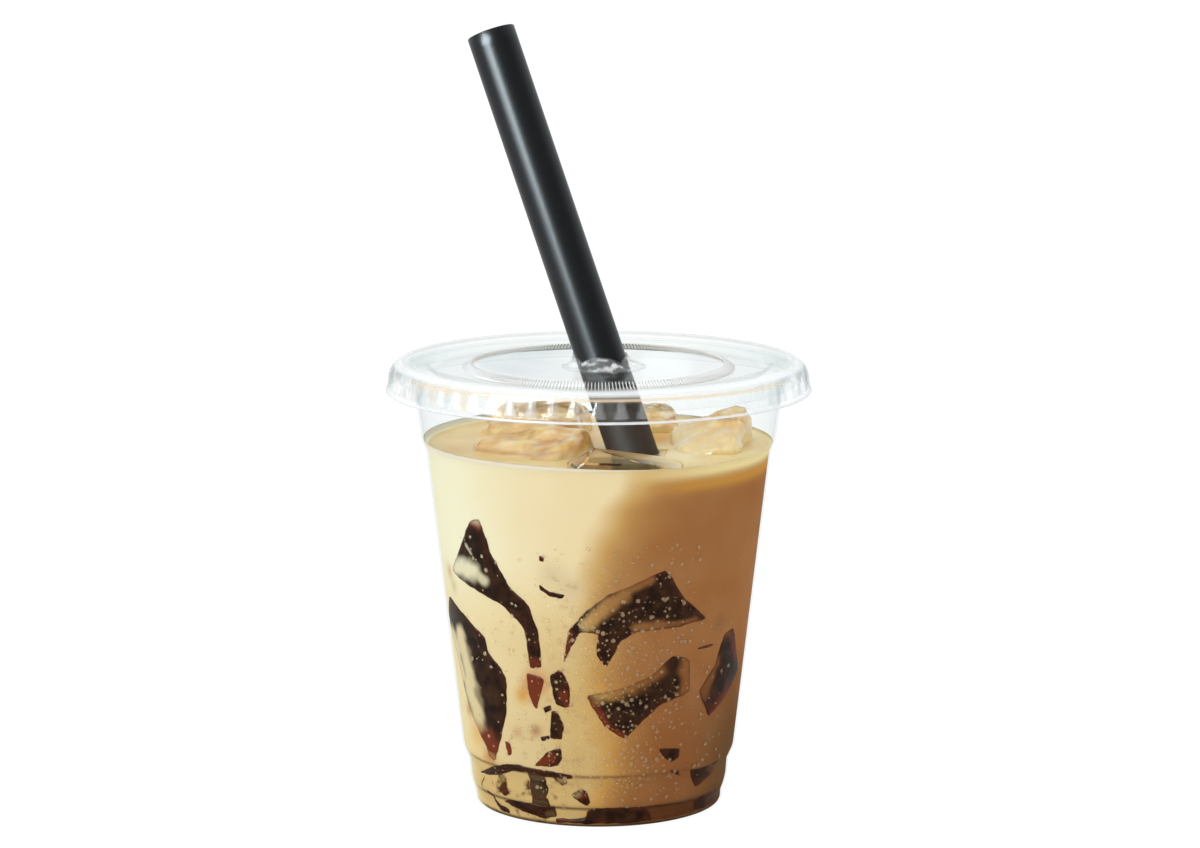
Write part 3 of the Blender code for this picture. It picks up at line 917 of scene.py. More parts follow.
def creaseEdges(obj):
    # a thin chamfer where two faces meet in the upright part, as the second material: painted dark and amber
    # refraction lines
    bm = bmesh.new()
    bm.from_mesh(obj.data)
    low, right = clearIce["creaseAbove"] * mm, 2 * clearIce["creaseLeftOf"] * mm
    sharp = [
        e for e in bm.edges
        if e.calc_face_angle(0) > 0.1 and min(v.co.z for v in e.verts) > low
        and e.calc_length() > 0.8 * mm and sum(v.co.x for v in e.verts) < right
    ]
    width = clearIce["creaseWidth"] * mm
    for face in bmesh.ops.bevel(bm, geom=sharp, offset=width, segments=1, affect="EDGES")["faces"]:
        face.material_index = 1
    bm.to_mesh(obj.data)
    bm.free()


def amberEdge():
    # painted dark and amber refraction lines along the edges
    material, tree = newMaterial("amberEdge")
    share = rangeNode(tree, noiseNode(tree, 260.0).outputs["Fac"], 0.48, 0.62)
    colour = mixColours(tree, share, clearIceLook["darkEdge"], clearIceLook["paleEdge"])
    finishBody(tree, {"Base Color": colour, "Roughness": 0.15})
    return material


def makeClearIce():
    obj = splinter("ice_front_glass", 0.0)
    cutWith(obj, roundRoom(cup["wall"] / 2 + clearIce["behind"]), "INTERSECT")
    cutWith(obj, sunkBlock("sunkIce", 0.0, sunkIce["top"]), "UNION")
    cutWith(obj, strawCore("strawRoom", 50, 110, clearIce["strawRoom"]))
    obj.data.shade_flat()
    wear(obj, clearPlastic("clearIce", clearIceLook), amberEdge())
    creaseEdges(obj)
    # milky at its two ends, and golden in places in the upright part
    places = pointsOf(obj)
    x, y, z = places.T
    milky = np.maximum(0.98 * smoothStep(13.0, 14.5, x), 0.8 * smoothStep(-3.5, -5.5, x))
    upright = smoothStep(5, 3.5, x) * smoothStep(83.4, 84.4, z)
    golden = 0.45 * upright * smoothStep(-0.2, 0.2, noiseAt(places, 2.5, 9))
    haze = clearIceLook["haze"] * (1 + noiseAt(places, 6.0, 4))
    frost = np.maximum(np.maximum(milky, golden), haze)
    setValue(obj, "frost", frost)
    setValue(obj, "peach", np.clip(golden / frost, 0, 1))
    settle(obj, "clear_ice", "ice_front_clear")


makeClearIce()
print("ice made")


# drink

drink = {
    "level": 83.5,
    "meniscus": 0.6,
    "climbOnCream": 0.9,
    "intoWall": 0.1,
    "iceGap": 0.15,
    "sides": 288,
    "teaFrom": -3.0,
    "teaSpread": 15.0,
    "backFrom": 85.0,
    "backTo": 178.0,
    "bandHeight": 79.6,
    "stepHeight": 12.7,
    "ringHeight": 4.9,
    "cream": (246, 241, 208),
    "latte": (240, 220, 174),
    "greyMilk": (208, 190, 148),
    "footMilk": (212, 178, 114),
    "warmMilk": (230, 200, 138),
    "golden": (200, 157, 92),
    "deepGolden": (200, 150, 78),
    "tea": (155, 101, 57),
    "deepTea": (138, 82, 42),
    "darkTea": (97, 62, 30),
    "amber": (200, 142, 62),
    "glow": (240, 220, 160),
    "surface": (236, 209, 148),
    "film": (243, 230, 206),
    "shred": shade(84, 50, 28),
    "ringLine": (118, 76, 42),
    "baseLine": (58, 36, 21),
    "wallRoughness": 0.6,
    "surfaceRoughness": 0.25,
    "surfaceShine": 0.1,
}
# where jelly colours the tea beside it: degrees, height, reach, colour and strength
stains = (
    (-31, 31, 2.0, (216, 152, 74), 0.9),
    (-25.5, 34, 2.6, (190, 104, 56), 0.8),
    (-60, 19, 3.0, (206, 154, 92), 0.6),
    (-53, 14.6, 2.6, (186, 122, 62), 0.7),
    (-66, 24, 1.6, (190, 140, 90), 0.6),
    (-26, 23, 1.3, (150, 96, 60), 0.6),
    (-35, 22, 1.2, (180, 130, 90), 0.5),
    (-62, 17.5, 4.0, (234, 196, 128), 0.7),
    (-17, 60, 2.8, (212, 192, 150), 0.6),
    (-10, 57, 2.4, (210, 190, 150), 0.6),
    (-70, 56, 1.5, (200, 160, 120), 0.6),
    (-67, 53, 1.4, (206, 184, 150), 0.6),
    (52, 46, 2.0, (128, 84, 48), 0.6),
)
# lighter and darker patches on the surface beside the ice: x, y, reach, colour and strength
surfacePatches = (
    (13, 4, 6.0, (200, 146, 72), 0.8),
    (19, -16, 5.0, (244, 230, 190), 0.7),
    (-4, 2, 5.0, (196, 140, 70), 0.7),
    (-33, -10, 6.0, (206, 152, 84), 0.4),
    (33, 12, 6.0, (238, 222, 180), 0.6),
    (-2, -26, 4.0, (214, 164, 92), 0.5),
)


def drinkColours(places):
    # cream on the left and tea on the right, which run into each other in front and at the back; partly the
    # drink's own colours and partly painted light and shade, lighter on the left towards the light and darker
    # on the right away from it
    turn, height, radii = azimuthOf(places), places[:, 2], radiiOf(places)
    wander = noiseAt(places, 15.0, 1) + 0.5 * noiseAt(places, 5.0, 2)

    def lay(name, share):
        # a further colour over what is there
        return blendColour(colour, drink[name], share)

    # the edge of the tea leans: further left low down, further right under the surface
    spread = 9 * (1 - smoothStep(58, 76, height)) + 6 * (1 - smoothStep(5, 14, height))
    spread -= 6 * smoothStep(40, 26, height) + 9 * smoothStep(74, 81, height)
    past = np.maximum(turn - drink["teaFrom"] + spread + 3 * wander, 0)
    share = 1 - np.exp(-((past / drink["teaSpread"]) ** 1.5))
    # the two run softly together again at the back
    backTurn = turn + 22 * wander * smoothStep(178, 140, turn)
    behind = 1 - smoothStep(drink["backFrom"], drink["backTo"], backTurn)
    share *= behind
    # tea, darkest low down on the right, partly painted shade
    warm = blendColour(drink["tea"], drink["deepTea"], 1 - smoothStep(18, 46, height))
    warm = blendColour(warm, drink["darkTea"], smoothStep(34, 74, turn) * (1 - smoothStep(14, 40, height)))
    # milk: clouded at the back, grey below, warm low on the left and in the foot
    colour = blendColour(drink["cream"], drink["latte"], behind * smoothStep(-62, -8, turn + 6 * wander))
    aside = np.abs(turn)
    clouds = smoothStep(-0.1, 0.5, wander) * smoothStep(80, 110, aside) * smoothStep(180, 165, aside)
    colour = lay("latte", 0.5 * clouds)
    grey = behind * (1 - smoothStep(12, 62, height + 10 * wander)) * smoothStep(-75, -30, turn)
    colour = lay("greyMilk", 0.75 * grey)
    low = smoothStep(64, 44, height) * smoothStep(-100, -72, turn) * smoothStep(0, -20, turn)
    colour = lay("warmMilk", 0.5 * low)
    foot = smoothStep(16, 10, height) * smoothStep(-85, -60, turn)
    foot = np.maximum(foot, smoothStep(62, 26, height) * smoothStep(-28, -8, turn))
    colour = lay("footMilk", 0.85 * foot * behind)
    # milk, then golden where they mix, then tea
    golden = blendColour(drink["golden"], drink["deepGolden"], smoothStep(46, 26, height))
    colour = blendColour(colour, golden, np.clip(2 * share, 0, 1))
    colour = blendColour(colour, warm, np.clip(2 * share - 1, 0, 1))
    # painted light under the surface on the tea side: an amber band and a lighter glow just below the
    # waterline
    colour = lay("amber", 0.95 * bell(height, drink["bandHeight"], 1.5) * smoothStep(10, 32, turn) * share)
    colour = lay("glow", share * smoothStep(79.8, 82.6, height))
    for degrees, level, reach, stain, strength in stains:
        away = np.hypot(np.radians(turn - degrees) * radii, height - level) * (1 + 0.3 * wander)
        colour = blendColour(colour, stain, strength * bell(away, 0, reach))
    # painted shade: the dark lines that the two rings of the foot draw, at the front only
    front = smoothStep(78, 60, aside)
    colour = lay("ringLine", 0.7 * front * bell(height, drink["stepHeight"], 0.35))
    base = np.maximum(bell(height, drink["ringHeight"], 0.3), 1 - smoothStep(0.9, 1.6, height))
    colour = lay("baseLine", 0.75 * front * base)
    # the surface, with its lighter and darker patches, and the film of milk that climbs the wall
    top = smoothStep(0.1, 0.9, wallAt(height, cup["wall"] / 2) - radii) * (height > 60)
    surface = blendColour(drink["surface"], drink["amber"], np.clip(0.1 + 0.3 * wander, 0, 0.4))
    for x, y, reach, stain, strength in surfacePatches:
        away = np.hypot(places[:, 0] - x, (places[:, 1] - y) / 1.5) * (1 + 0.5 * wander)
        surface = blendColour(surface, stain, strength * bell(away, 0, reach))
    colour = blendColour(colour, surface, top)
    film = smoothStep(drink["level"] + 0.15, drink["level"] + 0.6, height) * smoothStep(30, -20, turn)
    colour = lay("film", 0.8 * film * smoothStep(178, 150, -turn))
    return np.apply_along_axis(linear, 1, np.clip(colour, 0, 255) / 255)


def drinkMaterial(name, roughness, shine):
    material, tree = newMaterial(name)
    share = rangeNode(tree, noiseNode(tree, 70.0, 5.0).outputs["Fac"], 0.3, 0.7, 0.06)
    mixed = mixColours(tree, share, attributeNode(tree, "mixture", "Color"), shade(*drink["latte"]))
    # torn shreds of jelly hang where the attribute "shreds" is high
    torn = noiseNode(tree, 230.0, 5.0, 0.3).outputs["Fac"]
    depth = mathNode(tree, "ADD", torn, mathNode(tree, "MULTIPLY", attributeNode(tree, "shreds"), 0.5))
    finishBody(tree, {
        "Base Color": mixColours(tree, rangeNode(tree, depth, 0.98, 1.08), mixed, drink["shred"]),
        "Roughness": roughness,
        "Specular IOR Level": shine,
        "Subsurface Weight": 0.15,
        "Subsurface Radius": (1.0, 0.7, 0.4),
        "Subsurface Scale": 2 * mm,
    })
    return material


def drinkSection():
    # up the inner side of the wall, over the film that climbs it, and in to the axis
    level, climb = drink["level"], drink["meniscus"]
    inward = cup["wall"] / 2 - drink["intoWall"]
    last = float(wallAt(level + climb, inward))
    side = [p for p in offsetLine(cupLine, -inward) if p[1] < level + climb - 0.2] + [(last, level + climb)]
    surface = [(last - 0.05 * math.exp(i / 2.2), level + climb * math.exp(-i / 3.0)) for i in range(1, 9)]
    inner, steps = surface[-1][0], 44
    surface += [(inner * (1 - i / steps), level) for i in range(1, steps)] + [(0.0, level)]
    return fineLine(side, 0.9) + surface


def makeDrink():
    level, climb, gap = drink["level"], drink["meniscus"], drink["iceGap"]
    obj = addPiece("drinkBody", *revolve(drinkSection(), drink["sides"]))
    cutter = splinter("cutter", gap)
    cutWith(cutter, roundRoom(cup["wall"] / 2 + clearIce["behind"] - gap), "INTERSECT")
    cutWith(obj, cutter)
    cutWith(obj, sunkBlock("cutter", gap, level + 2))
    places = pointsOf(obj)
    # the film climbs the wall a little more on the cream side
    turn = azimuthOf(places)
    more = drink["climbOnCream"] * smoothStep(25, -30, turn) * smoothStep(178, 150, -turn)
    raised = places[:, 2] + more * smoothStep(level + 0.02, level + climb, places[:, 2])
    places[:, :2] *= (wallAt(raised, 0) / wallAt(places[:, 2], 0))[:, None]
    places[:, 2] = raised
    setPoints(obj, places)
    setColour(obj, "mixture", drinkColours(places))
    # shreds in the foot, on the left
    low = smoothStep(13, 11, places[:, 2]) * smoothStep(6, -16, turn) * smoothStep(76, 62, -turn)
    setValue(obj, "shreds", 0.92 * low * (1 - 0.25 * bell(turn, -17, 6)))
    atWall = drinkMaterial("teaAtWall", drink["wallRoughness"], 0.0)
    wear(obj, atWall, drinkMaterial("teaSurface", drink["surfaceRoughness"], drink["surfaceShine"]))
    for face in obj.data.polygons:
        middle = face.center / mm
        fromAxis = math.hypot(middle.x, middle.y)
        face.material_index = int(middle.z > 70 and fromAxis < wallAt(middle.z, cup["wall"] / 2) - 0.02)
    settle(obj, "milky_tea", "drink")


makeDrink()
print("drink made")


# jelly: outline on the wall as (degrees, height), depth, then strokes of milky film and of thin red
# jelly over it, each as (degrees, height, degrees, height, reach, strength)

jelly = {
    "intoWall": 0.2,
    "scrapIntoWall": 0.14,
    "wobble": 0.25,
    "grid": 0.5,
    "dark": shade(34, 20, 12),
    "brown": shade(88, 54, 32),
    "red": shade(124, 54, 30),
    "redRim": 0.32,
    "filmShade": 0.8836,
    "roughness": 0.35,
    "shine": 0.04,
}
jellyPieces = {
    "jelly_left_upper": (
        [(-50, 70), (-45, 71), (-40.5, 63), (-34, 56.5), (-26, 52.5), (-22.5, 46), (-22, 38), (-27, 37.5),
         (-28, 47), (-38, 52), (-67, 56.5), (-60, 61)],
        7,
        [(-64, 58, -51, 58.4, 2.7, 1), (-53, 58.8, -45, 56.8, 1.6, 0.8), (-53.5, 64, -51, 62.4, 0.45, 0.7),
         (-50, 71, -46, 70.4, 1.8, 0.45)],
        [(-49.5, 70.6, -46, 69.6, 1.6, 1), (-28, 39.5, -24, 38, 2.0, 0.6)],
    ),
    "jelly_left_lower": (
        [(-81, 45), (-74, 50), (-60, 47), (-47.5, 43), (-47, 40), (-38, 35), (-39.5, 26), (-47, 15.5),
         (-53, 16), (-66, 25), (-72, 36)],
        8,
        [(-74, 40, -69, 32, 3.0, 1), (-66, 41, -61, 31, 3.2, 1), (-63, 30, -59, 24, 4.0, 1)],
        [(-58, 20, -48, 17, 3.4, 0.9)],
    ),
    "jelly_left_chip": (
        [(-28.5, 36.5), (-21, 35.5), (-25, 28), (-28, 31)], 5,
        [], [(-26, 36, -25, 30, 5, 0.85)],
    ),
    "jelly_centre_upper": (
        [(-13.5, 39), (-11, 47.5), (-4, 52), (3, 55.5), (14, 58), (24, 61), (33, 53), (44, 48), (28, 47),
         (15, 47), (8, 45), (3, 38.5), (-1, 41.5), (0, 46.5), (-7, 47)],
        4,
        [(-4, 48.8, 2, 52.2, 1.9, 0.95), (2, 52.4, 9, 55.6, 2.0, 0.9), (10, 56.6, 18, 58.8, 1.5, 0.8),
         (14, 47.6, 24, 47.9, 1.4, 0.8), (24, 47.7, 38, 48, 0.9, 0.6)],
        [(-12.5, 41, -10.5, 46.5, 1.0, 0.6)],
    ),
    "jelly_centre_lower": (
        [(-5, 32), (8, 33.5), (20, 36), (29, 40.5), (37, 39), (38, 31), (25, 29.5), (10, 21.5), (2, 25)], 8,
        [(1, 33, 10, 34.4, 2.8, 0.95), (8, 34, 22, 38, 3.2, 0.9), (36, 39, 37, 31, 2.6, 0.9)],
        [(-4, 31, 3, 24.5, 1.5, 0.8), (3, 24.5, 10, 22, 1.3, 0.8)],
    ),
    "jelly_right": (
        [(55, 43), (62, 44), (67, 38), (73, 33), (62, 28), (50, 24), (43, 31), (51, 36)], 8,
        [(45, 30, 50, 37, 2.4, 0.7), (53, 43, 58, 44, 1.6, 0.6)],
        [(52, 25, 62, 29, 2.0, 0.5), (60, 43, 67, 37, 1.6, 0.4)],
    ),
    "jelly_small_upper": (
        [(-19, 36.5), (-14.5, 38), (-11, 34), (-11, 29), (-17, 29.5)], 5,
        [], [(-13.5, 32, -12, 29.5, 1.4, 0.7)],
    ),
    "jelly_small_lower": ([(-19, 28), (-16.5, 28), (-14, 24.5), (-15, 21.5), (-20, 21.5)], 5),
    "jelly_chip_right": ([(25, 18.8), (35.5, 18.2), (35.5, 16), (31, 15.2), (28, 16.6)], 3),
    "jelly_band": (
        [(-65, 9.4), (-50, 12.6), (-38, 14.4), (-11, 13.3), (-11, 12.3), (-37, 12.7), (-50, 11.2)], 4,
    ),
    "jelly_foot_left": (
        [(-31, 11.2), (-23.5, 11.2), (-22.5, 9), (-24, 6.3), (-30, 6.3), (-31.5, 9)], 5,
        [(-30, 10, -25, 7.4, 2.6, 0.08)],
    ),
    "jelly_foot_slip": ([(-48, 4.2), (-45, 5.1), (-23, 5.1), (-25, 3), (-40, 3.2)], 4),
    "jelly_foot_right": (
        [(42, 12.5), (54, 12), (64, 12.5), (60, 9.5), (48, 7.5)], 6,
        [(58, 11.5, 63, 11.5, 1.6, 0.6)],
    ),
    "jelly_foot_edge": ([(48, 4.8), (72, 4.4), (74, 1.8), (52, 1.4)], 4, [(62, 3, 72, 3, 2, 0.4)]),
    "jelly_bottom": ([(-18, 1.3), (-6, 2.4), (-5, 5.1), (22, 5.1), (26, 1.3)], 5),
}
# thin scraps that show through the wall beside the larger pieces
jellyBits = {
    "jellyBitFoot": ([(31, 13.3), (35.5, 13), (37.5, 11.4), (33.5, 12.2)], 2),
    "jellyBitRed": (
        [(-28, 14.6), (-21, 18.6), (-15.5, 19.4), (-15, 17), (-17, 15.2), (-22, 14.8)], 2,
        [], [(-26, 15.5, -20, 17, 1.6, 0.8)],
    ),
    "jellyBitBrown": (
        [(-12, 8.4), (-8, 9.7), (-5, 9.2), (-3.4, 6.6), (-5, 5.6), (-8, 6.6), (-11, 7.4)], 2,
        [(-10, 8, -9, 8.4, 0.8, 0.5)], [(-8, 8, -5, 8.6, 1, 0.5)],
    ),
    "jellyBandEnd": (
        [(-66, 9.2), (-60, 9.3), (-53, 9.9), (-46, 11), (-40, 12.2), (-48, 12.4), (-58, 10.8)], 2,
    ),
    "jellyBandTail": (
        [(-31, 13.4), (-12, 13.2), (-11, 12.2), (-18, 12), (-31, 12.4)], 2,
        [(-26, 12.8, -16, 12.8, 0.8, 0.2)],
    ),
    "jellyNeck": (
        [(-31.5, 12.8), (-23.5, 12.8), (-23, 10.4), (-31.5, 10.4)], 2,
        [(-30, 11.6, -25, 11.6, 1.6, 0.14)],
    ),
    "jellyHeel": ([(-31, 7), (-22.8, 7), (-21.5, 4.6), (-31, 4.6)], 2, [(-29, 6, -24, 6, 1.2, 0.1)]),
    "jellySlipLow": (
        [(-45, 4.3), (-30, 4), (-20, 5.2), (-19.5, 2.6), (-26, 1.8), (-38, 2.7), (-44, 3.4)], 2,
        [(-24, 3, -21, 3, 1, 0.15)],
    ),
    "jellyFleck": (
        [(-20.5, 12.8), (-14.5, 12.6), (-13.4, 11), (-16, 10.2), (-18.5, 11.2)], 1.5,
        [(-17, 11.6, -15, 11.4, 0.8, 0.5)], [(-19, 12, -15, 11, 1, 0.4)],
    ),
    "jellyFleckLeft": (
        [(-49, 6.2), (-46, 7.3), (-43.4, 7), (-44.6, 6.3), (-47, 5.8)], 1.5,
        [], [(-48, 6.4, -45, 6.8, 1, 0.4)],
    ),
    "jellyHookLeft": (
        [(-61, 5.4), (-56, 5), (-54.8, 4.6), (-54.6, 2.8), (-56.2, 3), (-56.4, 4.4), (-61, 4.9)], 1.5,
        [], [(-60, 5, -55, 5, 1, 0.4)],
    ),
    "jellyThread": (
        [(-67.5, 5.8), (-65, 7.2), (-62, 8.6), (-62.6, 7.8), (-66, 5.9)], 1.5,
        [], [(-67, 6, -62, 8, 1, 0.6)],
    ),
    "jellyTongue": (
        [(-54.5, 17), (-47, 17), (-48, 14.4), (-50, 13.8), (-52.6, 14.6)], 2,
        [(-52, 15, -49, 14.2, 1.2, 0.45)], [(-53, 16.4, -48, 14.6, 3, 1)],
    ),
    "jellyBitLow": ([(-55, 3.8), (-52, 2.8), (-46, 2.4), (-46, 1.4), (-52, 1.6), (-55, 2.6)], 2),
    "jellyBitEdge": (
        [(-20, 2.2), (-10, 2.3), (-4, 3.4), (-4, 1.2), (-20, 1.3)], 2,
        [], [(-20, 2, -12, 2, 1, 0.5)],
    ),
    "jellyBitSpeck": (
        [(-42, 19.4), (-39, 19), (-38.5, 16.6), (-40.5, 16)], 2,
        [], [(-41, 18, -39.5, 17, 2, 1)],
    ),
    "jellyBitHook": ([(-22.5, 28.6), (-19, 29.6), (-18.4, 28.2), (-21.6, 27.4)], 2),
    "jellyBitHeel": ([(-24, 21.6), (-20, 22.4), (-20, 21.4), (-23.4, 20.8)], 2),
    "jellyBitLine": ([(40, 41.2), (45, 41.8), (49, 41.4), (45, 40.9)], 1.5, [(40, 41.4, 49, 41.4, 1, 0.3)]),
    "jellyVeilFoot": ([(20, 5), (50, 4.7), (54, 1.5), (22, 1.3)], 3, [(28, 3, 46, 3, 4, 0.45)]),
    "jellyDot": ([(-21, 64.2), (-19, 64), (-19.4, 62.8), (-21, 63)], 1.5),
    "jellyCurl": ([(-21.4, 57.4), (-18, 56.2), (-12, 55.4), (-13, 54.6), (-18, 54.9), (-21, 56.2)], 1.5),
}


def jellyMaterial():
    # dark, red where it is thin, and clouded by the milky tea that runs before it
    material, tree = newMaterial("darkJelly")
    mottled = rangeNode(tree, noiseNode(tree, 420.0, 3.0).outputs["Fac"], 0.4, 0.75, 0.5)
    colour = mixColours(tree, mottled, jelly["dark"], jelly["brown"])
    colour = mixColours(tree, attributeNode(tree, "rim"), colour, jelly["red"])
    colour = mixColours(tree, attributeNode(tree, "film"), colour, attributeNode(tree, "mixture", "Color"))
    values = {"Roughness": jelly["roughness"], "Specular IOR Level": jelly["shine"]}
    finishBody(tree, {"Base Color": colour, **values})
    return material


darkJelly = jellyMaterial()


def flatNoise(places, size, seed):
    return np.array([noise.noise(Vector((x / size, y / size, seed))) for x, y in places])


def cutCorners(outline, share):
    result = []
    for a, b in zip(outline, outline[1:] + outline[:1]):
        result += [a.lerp(b, share), a.lerp(b, 1 - share)]
    return result


def lineDistance(points, start, run):
    share = np.clip(((points - start) @ run) / max(run @ run, 1e-9), 0, 1)
    return np.hypot(*(points - start - share[:, None] * run).T)


def edgeDistance(points, outline):
    starts = np.array(outline)
    runs = np.roll(starts, -1, axis=0) - starts
    return np.min([lineDistance(points, start, run) for start, run in zip(starts, runs)], axis=0)


def insideOutline(points, outline):
    starts = np.array(outline)
    ends = np.roll(starts, -1, axis=0)
    inside = np.zeros(len(points), bool)
    for (ax, ay), (bx, by) in zip(starts, ends):
        crosses = (ay > points[:, 1]) != (by > points[:, 1])
        with np.errstate(divide="ignore", invalid="ignore"):
            at = ax + (points[:, 1] - ay) * (bx - ax) / (by - ay)
        inside ^= crosses & (points[:, 0] < at)
    return inside


def strokeShare(places, strokes, seed):
    # how far each place lies under soft strokes
    wander, result = flatNoise(places, 2.2, seed), np.zeros(len(places))
    for start, end, reach, strength in strokes:
        away = lineDistance(places, start, end - start) / reach + 0.35 * wander
        result = np.maximum(result, strength * (1 - smoothStep(0.3, 1.3, away)))
    return result


def wavyOutline(corners, seed):
    # rounded, and a little uneven, as torn jelly is
    flat = cutCorners(cutCorners([Vector(p) for p in corners], 0.1), 0.25)
    flat = [Vector(p) for p in fineLine([tuple(p) for p in flat + flat[:1]], 0.4)[:-1]]
    waves = (flatNoise(flat, 2.4, seed) + 0.5 * flatNoise(flat, 0.9, seed)).tolist()
    wavy = []
    for i, (point, wave) in enumerate(zip(flat, waves)):
        along = (flat[(i + 1) % len(flat)] - flat[i - 1]).normalized()
        wavy.append(point + Vector((along.y, -along.x)) * wave * jelly["wobble"])
    return wavy


def jellySheet(outline):
    # the outline filled with triangles on a fine grid
    low, high = np.min(outline, axis=0), np.max(outline, axis=0)
    across, up = (np.arange(low[k], high[k], jelly["grid"]) for k in (0, 1))
    grid = np.array([(x, y) for x in across for y in up])
    if len(grid):
        grid = grid[insideOutline(grid, outline) & (edgeDistance(grid, outline) > 0.25)]
    ring = list(range(len(outline)))
    found = delaunay_2d_cdt(outline + [Vector(p) for p in grid], [], [ring], 1, 1e-5)
    return np.array([tuple(p) for p in found[0]]), found[2]


def makeJelly(name, outline, depth, films=(), reds=(), replaced=()):
    seed = random.Random(name).uniform(0, 50)
    spread = float(wallAt(np.mean([h for _, h in outline]), 0.0))

    def unrolled(degrees, height):
        return np.array([math.radians(degrees) * spread, height])

    def strokes(rows):
        return [(unrolled(*row[:2]), unrolled(*row[2:4]), *row[4:]) for row in rows]

    wavy = wavyOutline([unrolled(*p) for p in outline], seed)
    places, triangles = jellySheet(wavy)
    heights, count = places[:, 1], len(places)
    outer = wallAt(heights, cup["wall"] / 2 - jelly["intoWall" if replaced else "scrapIntoWall"])
    inner = wallAt(heights, cup["wall"] / 2) - depth
    points = [roundPoint(r, x / spread, z) for radii in (outer, inner) for r, (x, z) in zip(radii, places)]
    faces = [tuple(f) for f in triangles] + [tuple(count + i for i in reversed(f)) for f in triangles]
    sides = {(a, b) for face in triangles for a, b in zip(face, face[1:] + face[:1])}
    faces += [(b, a, count + a, count + b) for a, b in sides if (b, a) not in sides]
    obj = addPiece(name, points, faces)
    edge = edgeDistance(places, wavy)
    film = strokeShare(places, strokes(films), seed) * (1 - 0.5 * np.exp(-edge / 0.3))
    rim = jelly["redRim"] * np.exp(-edge / 0.6) * (0.6 + flatNoise(places, 3, seed))
    rim = np.clip(np.maximum(rim, strokeShare(places, strokes(reds), seed + 9)), 0, 1)
    setValue(obj, "film", np.tile(film, 2))
    setValue(obj, "rim", np.tile(rim, 2))
    setColour(obj, "mixture", drinkColours(pointsOf(obj)) * jelly["filmShade"])
    wear(obj, darkJelly)
    settle(obj, "dark_jelly", *replaced)


for jellyName, jellyValues in jellyPieces.items():
    makeJelly(jellyName + "_soft", *jellyValues, replaced=[jellyName])
for jellyName, jellyValues in jellyBits.items():
    makeJelly(jellyName, *jellyValues)
print("jelly made")


# condensation on the outside of the cup

mist = {
    "seed": 7,
    "perSquareMetre": 1000000.0,  # where the mist is thickest
    "smallest": 0.15,
    "largest": 0.55,
    "fewLarge": 3.0,
    "flatness": 0.4,
    "dropSides": 10,
    "heights": (5.0, 68.0, 1.4),  # from, to and step
    "degrees": (-58, 64, 2.4),
    "thickestAt": 1.0,
    "thickWidth": 25.0,
    "rim": (0.82, 0.7, 0.54),
    "haze": (1.0, 0.86, 0.58),
    "brighten": 0.36,
    "hazeShare": 0.24,
    "gloss": (1, 0.92, 0.8),
    "glossRoughness": 0.15,
}


def mistGroup():
    # drops of mixed sizes scattered over the incoming faces, more of them where "density" is high
    inputs = {"Density": "Float", "Smallest": "Float", "Largest": "Float", "Seed": "Int"}
    group, given = newGroup("scatterDrops", {**inputs, "Drop": "Object", "Material": "Material"})
    share = addNode(group, "GeometryNodeInputNamedAttribute", {"Name": "density"}).outputs[0]
    dense = mathNode(group, "MULTIPLY", share, given["Density"])
    values = {"Mesh": given["Geometry"], "Density": dense, "Seed": given["Seed"]}
    scatter = addNode(group, "GeometryNodeDistributePointsOnFaces", values)
    chance = addNode(group, "FunctionNodeRandomValue", {"Seed": given["Seed"]}).outputs[1]
    spread = mathNode(group, "SUBTRACT", given["Largest"], given["Smallest"])
    often = mathNode(group, "POWER", chance, mist["fewLarge"])
    size = mathNode(group, "ADD", given["Smallest"], mathNode(group, "MULTIPLY", spread, often))
    drop = addNode(group, "GeometryNodeObjectInfo", {"Object": given["Drop"]}).outputs["Geometry"]
    values = {"Points": scatter.outputs["Points"], "Rotation": scatter.outputs["Rotation"]}
    values |= {"Instance": drop, "Scale": size}
    copies = addNode(group, "GeometryNodeInstanceOnPoints", values).outputs[0]
    return finishGroup(group, copies, given["Material"])


def waterMaterial():
    material, tree = newMaterial("water")
    facing = addNode(tree, "ShaderNodeLayerWeight", {"Blend": 0.4}).outputs["Facing"]
    rim = mixColours(tree, facing, (1, 1, 1), mist["rim"])
    through = addNode(tree, "ShaderNodeBsdfTransparent", {"Color": rim})
    # the drops are partly hazy and partly painted light: they take the colour of the tea behind them,
    # lightened
    lit = mixColours(tree, mist["brighten"], attributeNode(tree, "mixture", "Color"), mist["haze"])
    haze = addNode(tree, "ShaderNodeBsdfDiffuse", {"Color": lit})
    values = {"Roughness": mist["glossRoughness"], "Color": mist["gloss"]}
    gloss = addNode(tree, "ShaderNodeBsdfGlossy", values)
    hazy = mixShaders(tree, mist["hazeShare"], through.outputs[0], haze.outputs[0])
    finishMaterial(tree, mixShaders(tree, sheetGloss(tree, 0.006, 0.08, 5.0), hazy, gloss.outputs[0]))
    return material


def mistPatch():
    # the part of the wall that is misted, with the thickness of the mist at each point
    heights, turns = np.arange(*mist["heights"]), np.radians(np.arange(*mist["degrees"]))
    points, density = [], []
    for height in heights:
        radius = float(wallAt(height, -cup["wall"] / 2))
        upward = float(smoothStep(4, 10, height) * (1 - 0.75 * smoothStep(36, 66, height)))
        for turn in turns:
            points.append(roundPoint(radius, turn, height))
            across = 0.1 + bell(math.degrees(turn), mist["thickestAt"], mist["thickWidth"])
            patch = 0.8 + 0.6 * noise.noise(Vector(points[-1]) / 9)
            density.append(max(0.0, across * upward * patch))
    obj = addPiece("condensation", points, gridFaces(len(heights), len(turns)))
    middle = obj.data.polygons[len(obj.data.polygons) // 2]
    if middle.normal.dot(middle.center) < 0:
        obj.data.flip_normals()
    setValue(obj, "density", density)
    setColour(obj, "mixture", drinkColours(np.array(points)))
    return obj


